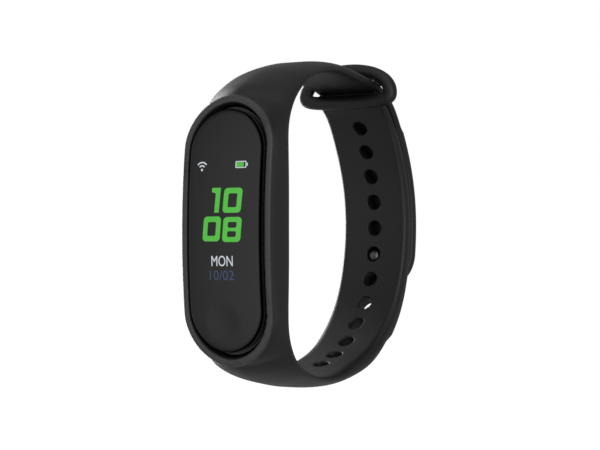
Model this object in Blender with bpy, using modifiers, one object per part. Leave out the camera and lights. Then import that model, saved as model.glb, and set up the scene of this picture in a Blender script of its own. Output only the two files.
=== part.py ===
"""Fitness tracker band: a curved capsule held in a silicone cradle, with a holed strap that ends in
a keeper ring, and a second strap that passes through the ring and lies outside the first, held by a stud.

Frame: X runs along the wrist, -Y is the way the display faces, +Z is up along the display.
The origin is the middle of the wrist passage. Metres."""

import math

import bmesh
import bpy
import numpy as np
from mathutils import Matrix, Vector

MM = 0.001

# Loop, in the side view. Depths run back from the rim of the display opening.
AXIS_DEPTH = 34.0 * MM  # from the rim to the wrist's axis
CRADLE_DEPTH = 7.7 * MM  # from the rim to the cradle's wrist side
LOOP_DEPTH = 56.8 * MM  # from the rim to the far inner wall of the loop
LOOP_TOP = 31.35 * MM  # inner height above the middle of the display
LOOP_BOTTOM = 28.1 * MM  # inner height below it
GAP = 0.3 * MM  # between neighbours that touch on the real object
FINE_GAP = 0.1 * MM  # between small pieces that run in or sit round each other

# Straps
CRADLE_WALL = 1.4 * MM  # beside the pocket
STRAP_HALF_WIDTH = 7.6 * MM
WIDTH_TAPER_START = 9.0 * MM  # path length from mid cradle
WIDTH_TAPER_END = 62.0 * MM
UPPER_THICKNESS = 2.0 * MM  # of the plain strap, past the ring
# (path length from mid cradle, thickness), in millimetres
LOWER_THICKNESSES = (
    (0, 7.4), (4, 7.4), (8, 7.2), (12, 6.85), (16, 6.5), (18, 6.5), (20, 6.75), (22, 6.7),
    (24, 5.6), (26, 4.4), (29, 3.3), (32, 2.65), (35, 2.4), (40, 2.45), (45, 2.75), (50, 3.1),
    (60, 3.35), (70, 3.3), (84, 2.9), (100, 2.65), (110, 2.2), (117, 1.8),
)
UPPER_THICKNESSES = (
    (0, 7.4), (4, 7.35), (8, 7.2), (12, 6.9), (16, 6.5), (18, 6.35), (20, 6.45), (22, 6.6),
    (24, 6.0), (26, 5.0), (29, 3.85), (32, 3.15), (35, 2.7), (40, 2.5), (45, 2.5), (50, 2.4),
    (60, 2.1), (70, 2.0), (90, 2.0), (113, 2.0),
)
CROWN = 0.2 * MM  # how far the strap's outer side rises from edge to middle
EDGE_HEIGHT = 1.4 * MM  # where the straps are widest, above their inner side
EDGE_SHARES = (0.45, 0.27)  # and its most, of the thickness: on the straps and where they leave the cradle
INNER_ROUNDS = (1.0 * MM, 2.4 * MM)  # of the inner edges, in the same two places
SHOULDER_POWERS = (2.2, 1.5)  # of the superellipse that rounds the outer edges, in the same two places
FLAT_BORDER = 1.9 * MM  # from the strap's side to the flat of its outer side
CRADLE_REACH = 29.0 * MM  # path length from mid cradle to either strap's root
HOLE_COUNT = 12
HOLE_RADIUS = 1.57 * MM
HOLE_PITCH = 5.5 * MM
FIRST_HOLE_FROM_RING = 6.1 * MM
STUD_HOLE = 6  # counted from the ring

# Display opening and rim
POCKET_WIDTH = 17.0 * MM
POCKET_LENGTH = 47.0 * MM
MOUTH_FLARES = (0.2 * MM, 0.65 * MM)  # from the pocket's wall out to the opening's, beside it and at the ends
LEDGE_BORDERS = (1.2 * MM, 2.5 * MM)  # how far the ledge reaches in, in the same two places
END_WALL = 1.95 * MM  # past the pocket's ends
LEDGE_DEPTH = 6.0 * MM
FACE_SAG = 2.03 * MM  # how far the ends of the opening stand back from its middle
LIP_ROUND = 0.4 * MM
END_POWER = 1.89  # of the superellipse that ends each oval

# Keeper ring
RING_FORWARD = 0.989 * MM  # from the end of the holed strap's inner line to the ring's widest place
RING_ABOVE = 2.186 * MM
RING_SIDE_CLEARANCE = 1.1 * MM  # between the strap's edge and the ring's side
RING_RISE = 5.2 * MM  # from the ring's widest place to its outer bar
RING_DROP = 1.5 * MM  # and to its inner bar
RING_BAR_RADIUS = 1.4 * MM
RING_LEAN = math.radians(8.0)
RING_UPPER_POWER = 2.1  # of the superellipse through the outer bar
RING_LOWER_POWER = 3.2  # and through the flatter inner bar

# Tail and stud
HINGE_PAST_RING = 6.2 * MM
HINGE_GAP = 0.4 * MM
TAIL_TIP_HEIGHT = -11.2 * MM
TIP_LENGTH = 7.4 * MM
STUD_STEM_RADIUS = 0.85 * MM
STUD_HEAD_RADIUS = 1.12 * MM
STUD_HEAD_HEIGHT = 1.0 * MM
STUD_CAP_RADIUS = 2.6 * MM
STUD_DROP = 0.28 * MM  # how far the stud sits below its hole's centre

# Capsule
HOUSING_CLEARANCE = 0.3 * MM
SHOULDER_CLEARANCE = 0.3 * MM
BOSS_DEPTH = 11.0 * MM
BOSS_CLEARANCE = 0.3 * MM
HOUSING_WALL = 0.8 * MM
HOUSING_FRONT = 1.45 * MM
LENS_BORDERS = (0.5 * MM, 0.7 * MM)  # from the pocket's wall to the lens, to the side and at the ends
LENS_EDGE_DEPTH = -0.44 * MM
LENS_BACK_DEPTH = 0.45 * MM
LENS_CROWN = 0.55 * MM
GASKET_BORDER = 0.75 * MM
GASKET_DEPTH = 0.4 * MM
DIMPLE_HEIGHT = -17.1 * MM
DIMPLE_RADIUS = 4.0 * MM
DIMPLE_DEPTH = 0.2 * MM

# Inside the capsule: depths of the fronts of the stacked pieces
FRAME_DEPTH = 3.4 * MM
FRAME_THICKNESS = 1.2 * MM
DISPLAY_CLEARANCE = 0.1 * MM  # to the housing's side walls
DISPLAY_LENGTH = 26.0 * MM
DISPLAY_HEIGHT = 1.0 * MM
DISPLAY_DEPTH = 1.5 * MM
DISPLAY_THICKNESS = 1.0 * MM
BOARD_DEPTH = 5.9 * MM
BOARD_THICKNESS = 0.7 * MM
BOARD_END_CLEARANCE = 0.5 * MM
CHIP_THICKNESS = 0.6 * MM
BATTERY_CLEARANCE = 1.0 * MM  # to the housing's side walls
BATTERY_THICKNESS = 3.0 * MM
BATTERY_LENGTH = 18.4 * MM
BATTERY_HEIGHT = 4.9 * MM
SENSOR_HEIGHT = -9.5 * MM
SENSOR_WINDOW_RADIUS = 3.8 * MM
SENSOR_WINDOW_PROUD = 0.25 * MM
SENSOR_BOARD_DEPTH = 8.0 * MM
CONTACT_RADIUS = 1.1 * MM
CONTACT_HALF_PITCH = 2.9 * MM
CONTACT_HEIGHT = 17.2 * MM
MOTOR_RADIUS = 1.6 * MM
MOTOR_HEIGHT = -15.7 * MM
MOTOR_DEPTH = 8.4 * MM
MOTOR_CLEARANCE = 0.6 * MM  # from the motor's ends to the housing's side walls
MOTOR_CASE_LENGTH = 4.1 * MM
MOTOR_SHAFT_RADIUS = 0.35 * MM

OVAL_STEPS = 44
SIDE_SHARES = (0.6, 0.2, -0.2, -0.6)  # of an oval's straight side, where it has points between its ends

# Colour, roughness and metallic value of each finish
# Sizes that follow from the ones above
CRADLE_HALF_WIDTH = POCKET_WIDTH / 2 + CRADLE_WALL
OPENING_WIDTH = POCKET_WIDTH + 2 * MOUTH_FLARES[0]
OPENING_LENGTH = POCKET_LENGTH + 2 * MOUTH_FLARES[1]
LEDGE_WIDTH = POCKET_WIDTH - 2 * LEDGE_BORDERS[0]
LEDGE_LENGTH = POCKET_LENGTH - 2 * LEDGE_BORDERS[1]
RIM_LENGTH = POCKET_LENGTH + 2 * END_WALL
LENS_WIDTH = POCKET_WIDTH - 2 * LENS_BORDERS[0]
LENS_LENGTH = POCKET_LENGTH - 2 * LENS_BORDERS[1]
RING_HALF_WIDTH = STRAP_HALF_WIDTH + RING_SIDE_CLEARANCE + RING_BAR_RADIUS  # of the bar's centre line

FINISHES = {
    "silicone": ((0.022, 0.022, 0.024), 0.55, 0.0),
    "lens": ((0.012, 0.012, 0.013), 0.08, 0.0),
    "housing": ((0.018, 0.018, 0.02), 0.4, 0.0),
    "foam": ((0.03, 0.03, 0.03), 0.9, 0.0),
    "frame": ((0.12, 0.12, 0.13), 0.5, 0.0),
    "display": ((0.01, 0.012, 0.02), 0.1, 0.0),
    "polyimide": ((0.55, 0.25, 0.05), 0.4, 0.0),
    "copper": ((0.72, 0.4, 0.22), 0.35, 1.0),
    "board": ((0.02, 0.12, 0.07), 0.5, 0.0),
    "chip": ((0.02, 0.02, 0.022), 0.6, 0.0),
    "ceramic": ((0.75, 0.73, 0.68), 0.6, 0.0),
    "battery": ((0.55, 0.56, 0.58), 0.35, 0.8),
    "red_wire": ((0.5, 0.02, 0.02), 0.5, 0.0),
    "black_wire": ((0.02, 0.02, 0.02), 0.5, 0.0),
    "steel": ((0.5, 0.5, 0.52), 0.3, 1.0),
    "tungsten": ((0.3, 0.3, 0.32), 0.4, 1.0),
    "led": ((0.6, 0.9, 0.5), 0.3, 0.0),
    "window": ((0.02, 0.03, 0.03), 0.05, 0.0),
    "gold": ((0.85, 0.6, 0.25), 0.25, 1.0),
    "stud": ((0.25, 0.25, 0.26), 0.35, 1.0),
}


# ---- Scene and objects


def clear_scene():
    for obj in list(bpy.data.objects):
        bpy.data.objects.remove(obj, do_unlink=True)


def new_collection(name):
    collection = bpy.data.collections.new(name)
    bpy.context.scene.collection.children.link(collection)
    return collection


def finish_of(name):
    material = bpy.data.materials.get(name)
    if material is None:
        material = bpy.data.materials.new(name)
        material.use_nodes = True
        shader = material.node_tree.nodes["Principled BSDF"]
        color, roughness, metallic = FINISHES[name]
        shader.inputs["Base Color"].default_value = (*color, 1.0)
        shader.inputs["Roughness"].default_value = roughness
        shader.inputs["Metallic"].default_value = metallic
    return material


def add_part(name, bm, finish, smooth_angle=40.0):
    """A new part from a bmesh, its faces pointing out, in the parts collection."""
    bmesh.ops.recalc_face_normals(bm, faces=bm.faces)
    mesh = bpy.data.meshes.new(name)
    bm.to_mesh(mesh)
    bm.free()
    mesh.shade_smooth()
    mesh.set_sharp_from_angle(angle=math.radians(smooth_angle))
    obj = bpy.data.objects.new(name, mesh)
    mesh.materials.append(finish_of(finish))
    PARTS.objects.link(obj)
    return obj


def add_cutter(name, bm):
    bmesh.ops.recalc_face_normals(bm, faces=bm.faces)
    mesh = bpy.data.meshes.new(name)
    bm.to_mesh(mesh)
    bm.free()
    obj = bpy.data.objects.new(name, mesh)
    obj.hide_render = True
    obj.display_type = "WIRE"
    CUTTERS.objects.link(obj)
    return obj


def combine(obj, other, operation="DIFFERENCE"):
    modifier = obj.modifiers.new(other.name, "BOOLEAN")
    modifier.operation = operation
    modifier.solver = "EXACT"
    modifier.object = other
    return modifier


# ---- Curves and outlines


def natural_spline(points, samples):
    """A dense line through the points: a natural cubic spline over the chord length."""
    points = np.asarray(points, float)
    knots = np.r_[0.0, np.cumsum(np.hypot(*np.diff(points, axis=0).T))]
    steps = np.diff(knots)
    count = len(points)
    matrix = np.eye(count)
    right = np.zeros((count, 2))
    for i in range(1, count - 1):
        matrix[i, i - 1 : i + 2] = steps[i - 1], 2 * (steps[i - 1] + steps[i]), steps[i]
        slopes = np.diff(points[i - 1 : i + 2], axis=0) / steps[i - 1 : i + 1, None]
        right[i] = 6 * (slopes[1] - slopes[0])
    bends = np.linalg.solve(matrix, right)
    at = np.linspace(0.0, knots[-1], samples)
    i = np.clip(np.searchsorted(knots, at) - 1, 0, count - 2)
    h = steps[i][:, None]
    before = (at - knots[i])[:, None]
    after = h - before
    curved = (bends[i] * after**3 + bends[i + 1] * before**3) / (6 * h)
    straight = (points[i] / h - bends[i] * h / 6) * after
    straight += (points[i + 1] / h - bends[i + 1] * h / 6) * before
    return curved + straight


class Path:
    """A line in the side view, (depth, height), read by its length from mid cradle."""

    def __init__(self, points, outward):
        self.line = natural_spline(points, 900)
        self.lengths = np.r_[0.0, np.cumsum(np.hypot(*np.diff(self.line, axis=0).T))]
        self.length = self.lengths[-1]
        self.outward = outward

    def point(self, s):
        return np.array([np.interp(s, self.lengths, self.line[:, k]) for k in (0, 1)])

    def tangent(self, s):
        step = 0.4 * MM
        low = max(s - step, 0.0)
        high = min(s + step, self.length)
        chord = self.point(high) - self.point(low)
        return chord / np.hypot(*chord)

    def normal(self, s):
        """The unit normal that points away from the wrist."""
        along = self.tangent(s)
        return self.outward * np.array([-along[1], along[0]])

    def offset(self, s, distance):
        return self.point(s) + distance * self.normal(s)

    def at_height(self, height, past):
        """The length at which the line crosses a height, beyond a given length."""
        line = self.line[self.lengths > past]
        lengths = self.lengths[self.lengths > past]
        return float(lengths[np.abs(line[:, 1] - height).argmin()])


def to_world(x, depth, height):
    return Vector((x, depth - AXIS_DEPTH, height))


def smooth_step(value, start, end):
    t = min(max((value - start) / (end - start), 0.0), 1.0)
    return t * t * (3 - 2 * t)


def sag_at(height):
    return FACE_SAG * (height / (OPENING_LENGTH / 2)) ** 2


def oval(width, length, steps=OVAL_STEPS):
    """(x, height) round a long oval: straight sides and superellipse ends."""
    radius = width / 2
    straight = length / 2 - radius
    half = []
    for k in range(steps // 2):
        angle = 2 * math.pi * (k + 0.5) / steps
        c, s = math.cos(angle), math.sin(angle)
        x = radius * math.copysign(abs(c) ** (2 / END_POWER), c)
        half.append((x, straight + radius * s ** (2 / END_POWER)))
    half += [(-radius, share * straight) for share in SIDE_SHARES]
    return half + [(-x, -z) for x, z in half]


def oval_half_width(height, width, length):
    """Half the width of such an oval at a height."""
    radius = width / 2
    beyond = abs(height) - (length / 2 - radius)
    if beyond <= 0:
        return radius
    share = min(beyond / radius, 1.0)
    return radius * (1 - share**END_POWER) ** (1 / END_POWER)


def circle(radius, steps, centre=(0.0, 0.0)):
    turns = [2 * math.pi * k / steps for k in range(steps)]
    return [(centre[0] + radius * math.cos(a), centre[1] + radius * math.sin(a)) for a in turns]


# ---- Solids


def loft(rings, closed=False):
    """A closed skin over rings of as many points each, capped at both ends or joined round."""
    bm = bmesh.new()
    rows = [[bm.verts.new(p) for p in ring] for ring in rings]
    pairs = list(zip(rows, rows[1:]))
    if closed:
        pairs.append((rows[-1], rows[0]))
    for row, following in pairs:
        for k in range(len(row)):
            n = (k + 1) % len(row)
            bm.faces.new((row[k], row[n], following[n], following[k]))
    if not closed:
        bm.faces.new(rows[0])
        bm.faces.new(rows[-1])
    return bm


def oval_rings(levels):
    """Rings from (width, length, depth, share of the face's sag)."""
    rings = []
    for width, length, depth, share in levels:
        rings.append([to_world(x, depth + share * sag_at(z), z) for x, z in oval(width, length)])
    return rings


def slab(outline, front, back):
    """An outline in the display's plane, extruded from one depth to another."""
    bm = bmesh.new()
    face = bm.faces.new([bm.verts.new(to_world(x, front, z)) for x, z in outline])
    made = bmesh.ops.extrude_face_region(bm, geom=[face])
    moved = [v for v in made["geom"] if isinstance(v, bmesh.types.BMVert)]
    bmesh.ops.translate(bm, verts=moved, vec=(0.0, back - front, 0.0))
    return bm


def rectangle(width, length, centre=(0.0, 0.0)):
    x, z = width / 2, length / 2
    corners = ((-x, -z), (x, -z), (x, z), (-x, z))
    return [(centre[0] + a, centre[1] + b) for a, b in corners]


def block(width, thickness, length, x, front, height):
    """A box by its size, its middle across and up, and its front's depth."""
    bm = bmesh.new()
    bmesh.ops.create_cube(bm, size=1.0)
    bmesh.ops.scale(bm, verts=bm.verts, vec=(width, thickness, length))
    middle = to_world(x, front + thickness / 2, height)
    bmesh.ops.translate(bm, verts=bm.verts, vec=middle)
    return bm


def rounded(obj, width, segments=2):
    bevel = obj.modifiers.new("edges", "BEVEL")
    bevel.width = width
    bevel.segments = segments
    bevel.limit_method = "ANGLE"
    bevel.angle_limit = math.radians(40)
    return obj


def rod(radius, length, centre, axis="X", steps=24):
    """A solid cylinder about its centre."""
    bm = bmesh.new()
    bmesh.ops.create_cone(
        bm, cap_ends=True, segments=steps, radius1=radius, radius2=radius, depth=length
    )
    turn = {"X": Matrix.Rotation(math.pi / 2, 4, "Y"), "Y": Matrix.Rotation(math.pi / 2, 4, "X")}
    bmesh.ops.transform(bm, matrix=Matrix.Translation(centre) @ turn[axis], verts=bm.verts)
    return bm


def ribbon(line, half_width, thickness, x=0.0):
    """A thin flat strip along a line of (depth, height)."""
    line = np.asarray(line, float)
    rings = []
    for k in range(len(line)):
        chord = line[min(k + 1, len(line) - 1)] - line[max(k - 1, 0)]
        chord = chord / np.hypot(*chord)
        side = np.array([-chord[1], chord[0]]) * thickness / 2
        a, b = line[k] + side, line[k] - side
        corners = ((x - half_width, a), (x + half_width, a), (x + half_width, b), (x - half_width, b))
        rings.append([to_world(c, *p) for c, p in corners])
    return loft(rings)


# ---- The loop's two lines

DEPTH_SPAN = LOOP_DEPTH - CRADLE_DEPTH
# Shape of the inner lines: (share of the span from cradle to far wall, share of the height)
LOWER_SHAPE = (
    (0.0, 0.0), (0.0, 0.28), (0.0, 0.55), (0.017, 0.72), (0.08, 0.866), (0.18, 0.957),
    (0.3, 1.0), (0.44, 0.99), (0.577, 0.932), (0.708, 0.85), (0.82, 0.708), (0.91, 0.525),
    (0.97, 0.29), (0.998, 0.03), (0.995, -0.22), (0.962, -0.46), (0.905, -0.685), (0.829, -0.884),
    (0.79, -0.94),
)
UPPER_SHAPE = (
    (0.0, 0.0), (0.0, 0.25), (0.0, 0.5), (0.013, 0.656), (0.075, 0.8), (0.18, 0.922),
    (0.3, 0.982), (0.43, 1.0),
)
UPPER_DESCENT = (0.56, 0.23)  # share of the span, and of the drop from the crest to the ring's inner bar
RING_APPROACH = (-4.71 * MM, 0.86 * MM)  # where the inner line comes in, from where it clears the bar


def shaped(shape, height):
    return [(CRADLE_DEPTH + a * DEPTH_SPAN, b * height) for a, b in shape]


LOWER_PATH = Path(shaped(LOWER_SHAPE, -LOOP_BOTTOM), outward=-1.0)
HOLES_START = LOWER_PATH.length - FIRST_HOLE_FROM_RING


def thickness_line(table):
    line = natural_spline(np.array(table) * MM, 600)
    return line[:, 0], line[:, 1]


RING_DEPTH = LOWER_SHAPE[-1][0] * DEPTH_SPAN + CRADLE_DEPTH - RING_FORWARD
RING_HEIGHT = -LOWER_SHAPE[-1][1] * LOOP_BOTTOM + RING_ABOVE
LOWER_PROFILE = thickness_line(LOWER_THICKNESSES)
UPPER_PROFILE = thickness_line(UPPER_THICKNESSES)


def lower_thickness(s):
    return float(np.interp(s, *LOWER_PROFILE))


def upper_thickness(s):
    return float(np.interp(s, *UPPER_PROFILE))


def ring_point(height_share):
    """A point of the ring's middle plane, (depth, height), from its inner to its outer bar."""
    rise = height_share * (RING_RISE if height_share > 0 else RING_DROP)
    return np.array([RING_DEPTH + rise * math.sin(RING_LEAN), RING_HEIGHT + rise * math.cos(RING_LEAN)])


def upper_points():
    """Over the top, across the ring's inner bar, then down outside the holed strap."""
    points = shaped(UPPER_SHAPE, LOOP_TOP)
    over_bar = ring_point(-1.0) + np.array([0.25, 0.97]) * (RING_BAR_RADIUS + 1.5 * GAP)
    along, down = UPPER_DESCENT
    points.append((CRADLE_DEPTH + along * DEPTH_SPAN, LOOP_TOP - down * (LOOP_TOP - over_bar[1])))
    points.append(tuple(over_bar + np.array(RING_APPROACH)))
    points.append(tuple(over_bar))
    s = LOWER_PATH.length - 2.6 * MM
    while LOWER_PATH.point(s)[1] > TAIL_TIP_HEIGHT - 4 * MM:
        points.append(tuple(LOWER_PATH.offset(s, lower_thickness(s) + GAP)))
        s -= 6 * MM
    return points


UPPER_PATH = Path(upper_points(), outward=1.0)
RING_STATION = float(
    UPPER_PATH.lengths[np.hypot(*(UPPER_PATH.line - ring_point(-1.0)).T).argmin()]
)
HINGE_STATION = RING_STATION + HINGE_PAST_RING
HINGE = UPPER_PATH.offset(HINGE_STATION, UPPER_THICKNESS / 2)
TIP_STATION = UPPER_PATH.at_height(TAIL_TIP_HEIGHT, HINGE_STATION)
STUD_STATION = HOLES_START - (STUD_HOLE - 1) * HOLE_PITCH


def half_width(s):
    taper = smooth_step(s, WIDTH_TAPER_START, WIDTH_TAPER_END)
    return CRADLE_HALF_WIDTH + (STRAP_HALF_WIDTH - CRADLE_HALF_WIDTH) * taper


def strap_section(path, s, width, thickness):
    """(x, rise) round a strap: flat inside, domed where it leaves the cradle, flatter further on."""
    wide, thick = width(s), thickness(s)
    domed = smooth_step(s, 16 * MM, 22 * MM) - smooth_step(s, 32 * MM, 60 * MM)
    edge_share, power, inner = (
        straight + (by_cradle - straight) * domed
        for straight, by_cradle in (EDGE_SHARES, SHOULDER_POWERS, INNER_ROUNDS)
    )
    edge = min(EDGE_HEIGHT, edge_share * thick)
    inner = min(inner, 0.3 * wide)
    top = path.offset(s, thick)[1]
    flat_strap = (wide - FLAT_BORDER) * smooth_step(s, 26 * MM, 62 * MM)
    flat_cradle = oval_half_width(top, 2 * CRADLE_HALF_WIDTH - 0.5 * MM, RIM_LENGTH - 0.5 * MM)
    flat = min(max(flat_strap, flat_cradle, 0.3 * MM), wide - 0.25 * MM)
    crown = CROWN * smooth_step(s, 34 * MM, 60 * MM)
    points = []
    for turn in np.radians((0, 45, 90)):
        points.append((wide - inner * (1 - math.sin(turn)), edge * (1 - math.cos(turn))))
    for turn in np.radians((22, 45, 68, 90)):
        x = flat + (wide - flat) * math.cos(turn) ** (2 / power)
        points.append((x, edge + (thick - edge) * math.sin(turn) ** (2 / power)))
    mirrored = [(-x, rise) for x, rise in reversed(points)]
    points += [(share * flat, thick) for share in (0.4, -0.4)]
    return [(x, rise - crown * (x / wide) ** 2 * rise / thick) for x, rise in points + mirrored]


def strap_rings(path, stations, width, thickness):
    rings = []
    for s in stations:
        section = strap_section(path, s, width, thickness)
        rings.append([to_world(x, *path.offset(s, rise)) for x, rise in section])
    return rings


def stations_between(start, end, spacing):
    return np.linspace(start, end, max(2, round((end - start) / spacing) + 1))


# ---- Band


def build_cradle():
    reach = stations_between(0.0, CRADLE_REACH, 2.4 * MM)

    def width(s):
        return half_width(s) - 0.06 * MM * (1 - smooth_step(s, 0.0, WIDTH_TAPER_START))

    lower = strap_rings(LOWER_PATH, reach[:0:-1], width, lower_thickness)
    upper = strap_rings(UPPER_PATH, reach, width, upper_thickness)
    cradle = add_part("band_cradle", loft(lower + upper), "silicone")
    rim_width = 2 * CRADLE_HALF_WIDTH
    inner_width, inner_length = POCKET_WIDTH - 0.6 * MM, POCKET_LENGTH - 0.6 * MM
    back = CRADLE_DEPTH - 0.6 * MM
    rim = add_cutter(
        "rim_ring",
        loft(
            oval_rings(
                (
                    (rim_width, RIM_LENGTH, back, 0.0),
                    (rim_width, RIM_LENGTH, LIP_ROUND, 1.0),
                    (rim_width - 0.6 * LIP_ROUND, RIM_LENGTH - 0.6 * LIP_ROUND, 0.29 * LIP_ROUND, 1.0),
                    (rim_width - 2 * LIP_ROUND, RIM_LENGTH - 2 * LIP_ROUND, 0.0, 1.0),
                    (inner_width, inner_length, 0.0, 1.0),
                    (inner_width, inner_length, back, 0.0),
                )
            ),
            closed=True,
        ),
    )
    pocket = add_cutter(
        "pocket",
        loft(
            oval_rings(
                (
                    (OPENING_WIDTH + 1.0 * MM, OPENING_LENGTH + 1.0 * MM, -6 * MM, 0.0),
                    (OPENING_WIDTH, OPENING_LENGTH, 0.0, 1.0),
                    (POCKET_WIDTH, POCKET_LENGTH, 1.5 * MM, 1.0),
                    (POCKET_WIDTH, POCKET_LENGTH, LEDGE_DEPTH, 0.0),
                )
            )
        ),
    )
    ledge = add_cutter("ledge", slab(oval(LEDGE_WIDTH, LEDGE_LENGTH), LEDGE_DEPTH - 1 * MM, 20 * MM))
    combine(cradle, rim, "UNION")
    combine(cradle, pocket)
    combine(cradle, ledge)


def ring_rings(bar_radius, steps, sides):
    """Sections of the bar round the keeper ring."""
    across = np.array([1.0, 0.0, 0.0])
    up = np.array([0.0, math.sin(RING_LEAN), math.cos(RING_LEAN)])
    through = np.cross(across, up)
    centre = np.array(to_world(0.0, RING_DEPTH, RING_HEIGHT))

    def on_line(angle):
        c, s = math.cos(angle), math.sin(angle)
        power = RING_UPPER_POWER if s > 0 else RING_LOWER_POWER
        x = RING_HALF_WIDTH * math.copysign(abs(c) ** (2 / power), c)
        z = (RING_RISE if s > 0 else RING_DROP) * math.copysign(abs(s) ** (2 / power), s)
        return centre + x * across + z * up

    rings = []
    for k in range(steps):
        angle = 2 * math.pi * (k + 0.5) / steps
        middle = on_line(angle)
        along = on_line(angle + 0.02) - on_line(angle - 0.02)
        along /= np.linalg.norm(along)
        outward = np.cross(along, through)
        ring = []
        for x, y in circle(bar_radius, sides):
            ring.append(Vector(middle + x * outward + y * through))
        rings.append(ring)
    return rings


def build_keeper_ring():
    add_part("keeper_ring", loft(ring_rings(RING_BAR_RADIUS, 40, 12), closed=True), "silicone")


def build_lower_strap():
    stations = stations_between(CRADLE_REACH + GAP, LOWER_PATH.length, 2.9 * MM)
    strap = add_part(
        "lower_strap", loft(strap_rings(LOWER_PATH, stations, half_width, lower_thickness)), "silicone"
    )
    for k in range(HOLE_COUNT):
        s = HOLES_START - k * HOLE_PITCH
        outward = LOWER_PATH.normal(s)
        direction = Vector((0.0, outward[0], outward[1]))
        bm = bmesh.new()
        bmesh.ops.create_cone(
            bm, cap_ends=True, segments=16, radius1=HOLE_RADIUS, radius2=HOLE_RADIUS, depth=9 * MM
        )
        turn = direction.to_track_quat("Z", "X").to_matrix().to_4x4()
        place = Matrix.Translation(to_world(0.0, *LOWER_PATH.point(s))) @ turn
        bmesh.ops.transform(bm, matrix=place, verts=bm.verts)
        combine(strap, add_cutter(f"hole_{k + 1}", bm))
    room = add_cutter("ring_room", loft(ring_rings(RING_BAR_RADIUS + GAP, 40, 12), closed=True))
    combine(strap, room)


def build_upper_strap():
    stations = stations_between(CRADLE_REACH + GAP, HINGE_STATION, 2.6 * MM)
    strap = add_part(
        "upper_strap", loft(strap_rings(UPPER_PATH, stations, half_width, upper_thickness)), "silicone"
    )
    socket_radius = UPPER_THICKNESS / 2 + HINGE_GAP
    socket = rod(socket_radius, 30 * MM, to_world(0.0, *HINGE), steps=32)
    combine(strap, add_cutter("hinge_socket", socket))


def tail_width(s):
    """Full width, then a round tip."""
    left = TIP_STATION - s
    if left >= TIP_LENGTH:
        return half_width(s)
    share = 1 - max(left, 0.0) / TIP_LENGTH
    return half_width(s) * max(1 - share**2.2, 0.0) ** (1 / 2.2)


def build_tail():
    """The free end of the upper strap, which peels outwards about the hinge line."""
    straight = stations_between(HINGE_STATION, TIP_STATION - TIP_LENGTH, 2.6 * MM)
    turns = [math.radians(a) for a in (15, 30, 45, 58, 70, 80, 86)]
    tip = [TIP_STATION - TIP_LENGTH * (1 - math.sin(a)) for a in turns]
    stations = np.r_[straight, tip]
    bm = loft(strap_rings(UPPER_PATH, stations, tail_width, upper_thickness))
    tail = add_part("tail_strap", bm, "silicone")
    knuckle = rod(UPPER_THICKNESS / 2, 2 * half_width(HINGE_STATION) - 1.2 * MM, to_world(0.0, *HINGE))
    combine(tail, add_cutter("knuckle", knuckle), "UNION")
    # the stud's seat, through the tail
    place = stud_frame()
    bm = bmesh.new()
    bmesh.ops.create_cone(
        bm,
        cap_ends=True,
        segments=16,
        radius1=STUD_STEM_RADIUS + FINE_GAP,
        radius2=STUD_STEM_RADIUS + FINE_GAP,
        depth=12 * MM,
    )
    bmesh.ops.transform(bm, matrix=place, verts=bm.verts)
    combine(tail, add_cutter("stud_seat", bm))


def stud_frame():
    """The stud's place: its origin on the tail's inner side, +Z outwards."""
    s = STUD_STATION
    outward = LOWER_PATH.normal(s)
    along = LOWER_PATH.tangent(s)
    seat = LOWER_PATH.offset(s, lower_thickness(s) + GAP) - along * STUD_DROP
    direction = Vector((0.0, outward[0], outward[1]))
    turn = direction.to_track_quat("Z", "X").to_matrix().to_4x4()
    return Matrix.Translation(to_world(0.0, *seat)) @ turn


def build_stud():
    """A turned stud: mushroom head inside the hole, stem through the tail, flat cap outside."""
    head_end = -(lower_thickness(STUD_STATION) + GAP + 0.15 * MM)
    cap_front = UPPER_THICKNESS + FINE_GAP
    profile = (
        (0.0, cap_front + 0.5 * MM),
        (STUD_CAP_RADIUS - 0.3 * MM, cap_front + 0.45 * MM),
        (STUD_CAP_RADIUS, cap_front + 0.2 * MM),
        (STUD_CAP_RADIUS, cap_front),
        (STUD_STEM_RADIUS, cap_front),
        (STUD_STEM_RADIUS, head_end + STUD_HEAD_HEIGHT),
        (STUD_HEAD_RADIUS, head_end + 0.6 * STUD_HEAD_HEIGHT),
        (STUD_HEAD_RADIUS, head_end + 0.35 * STUD_HEAD_HEIGHT),
        (0.6 * STUD_HEAD_RADIUS, head_end),
        (0.0, head_end),
    )
    bm = turned(profile, 20)
    bmesh.ops.transform(bm, matrix=stud_frame(), verts=bm.verts)
    add_part("clasp_stud", bm, "stud", smooth_angle=30)


def turned(profile, steps):
    """A profile of (radius, height), both ends on the axis, spun into a solid about Z."""
    bm = bmesh.new()
    verts = [bm.verts.new((radius, 0.0, height)) for radius, height in profile]
    edges = [bm.edges.new(pair) for pair in zip(verts, verts[1:])]
    bmesh.ops.spin(
        bm,
        geom=verts + edges,
        cent=(0, 0, 0),
        axis=(0, 0, 1),
        angle=2 * math.pi,
        steps=steps,
        use_merge=True,
    )
    bmesh.ops.remove_doubles(bm, verts=bm.verts, dist=1e-6)
    return bm


# ---- Capsule shell

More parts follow.
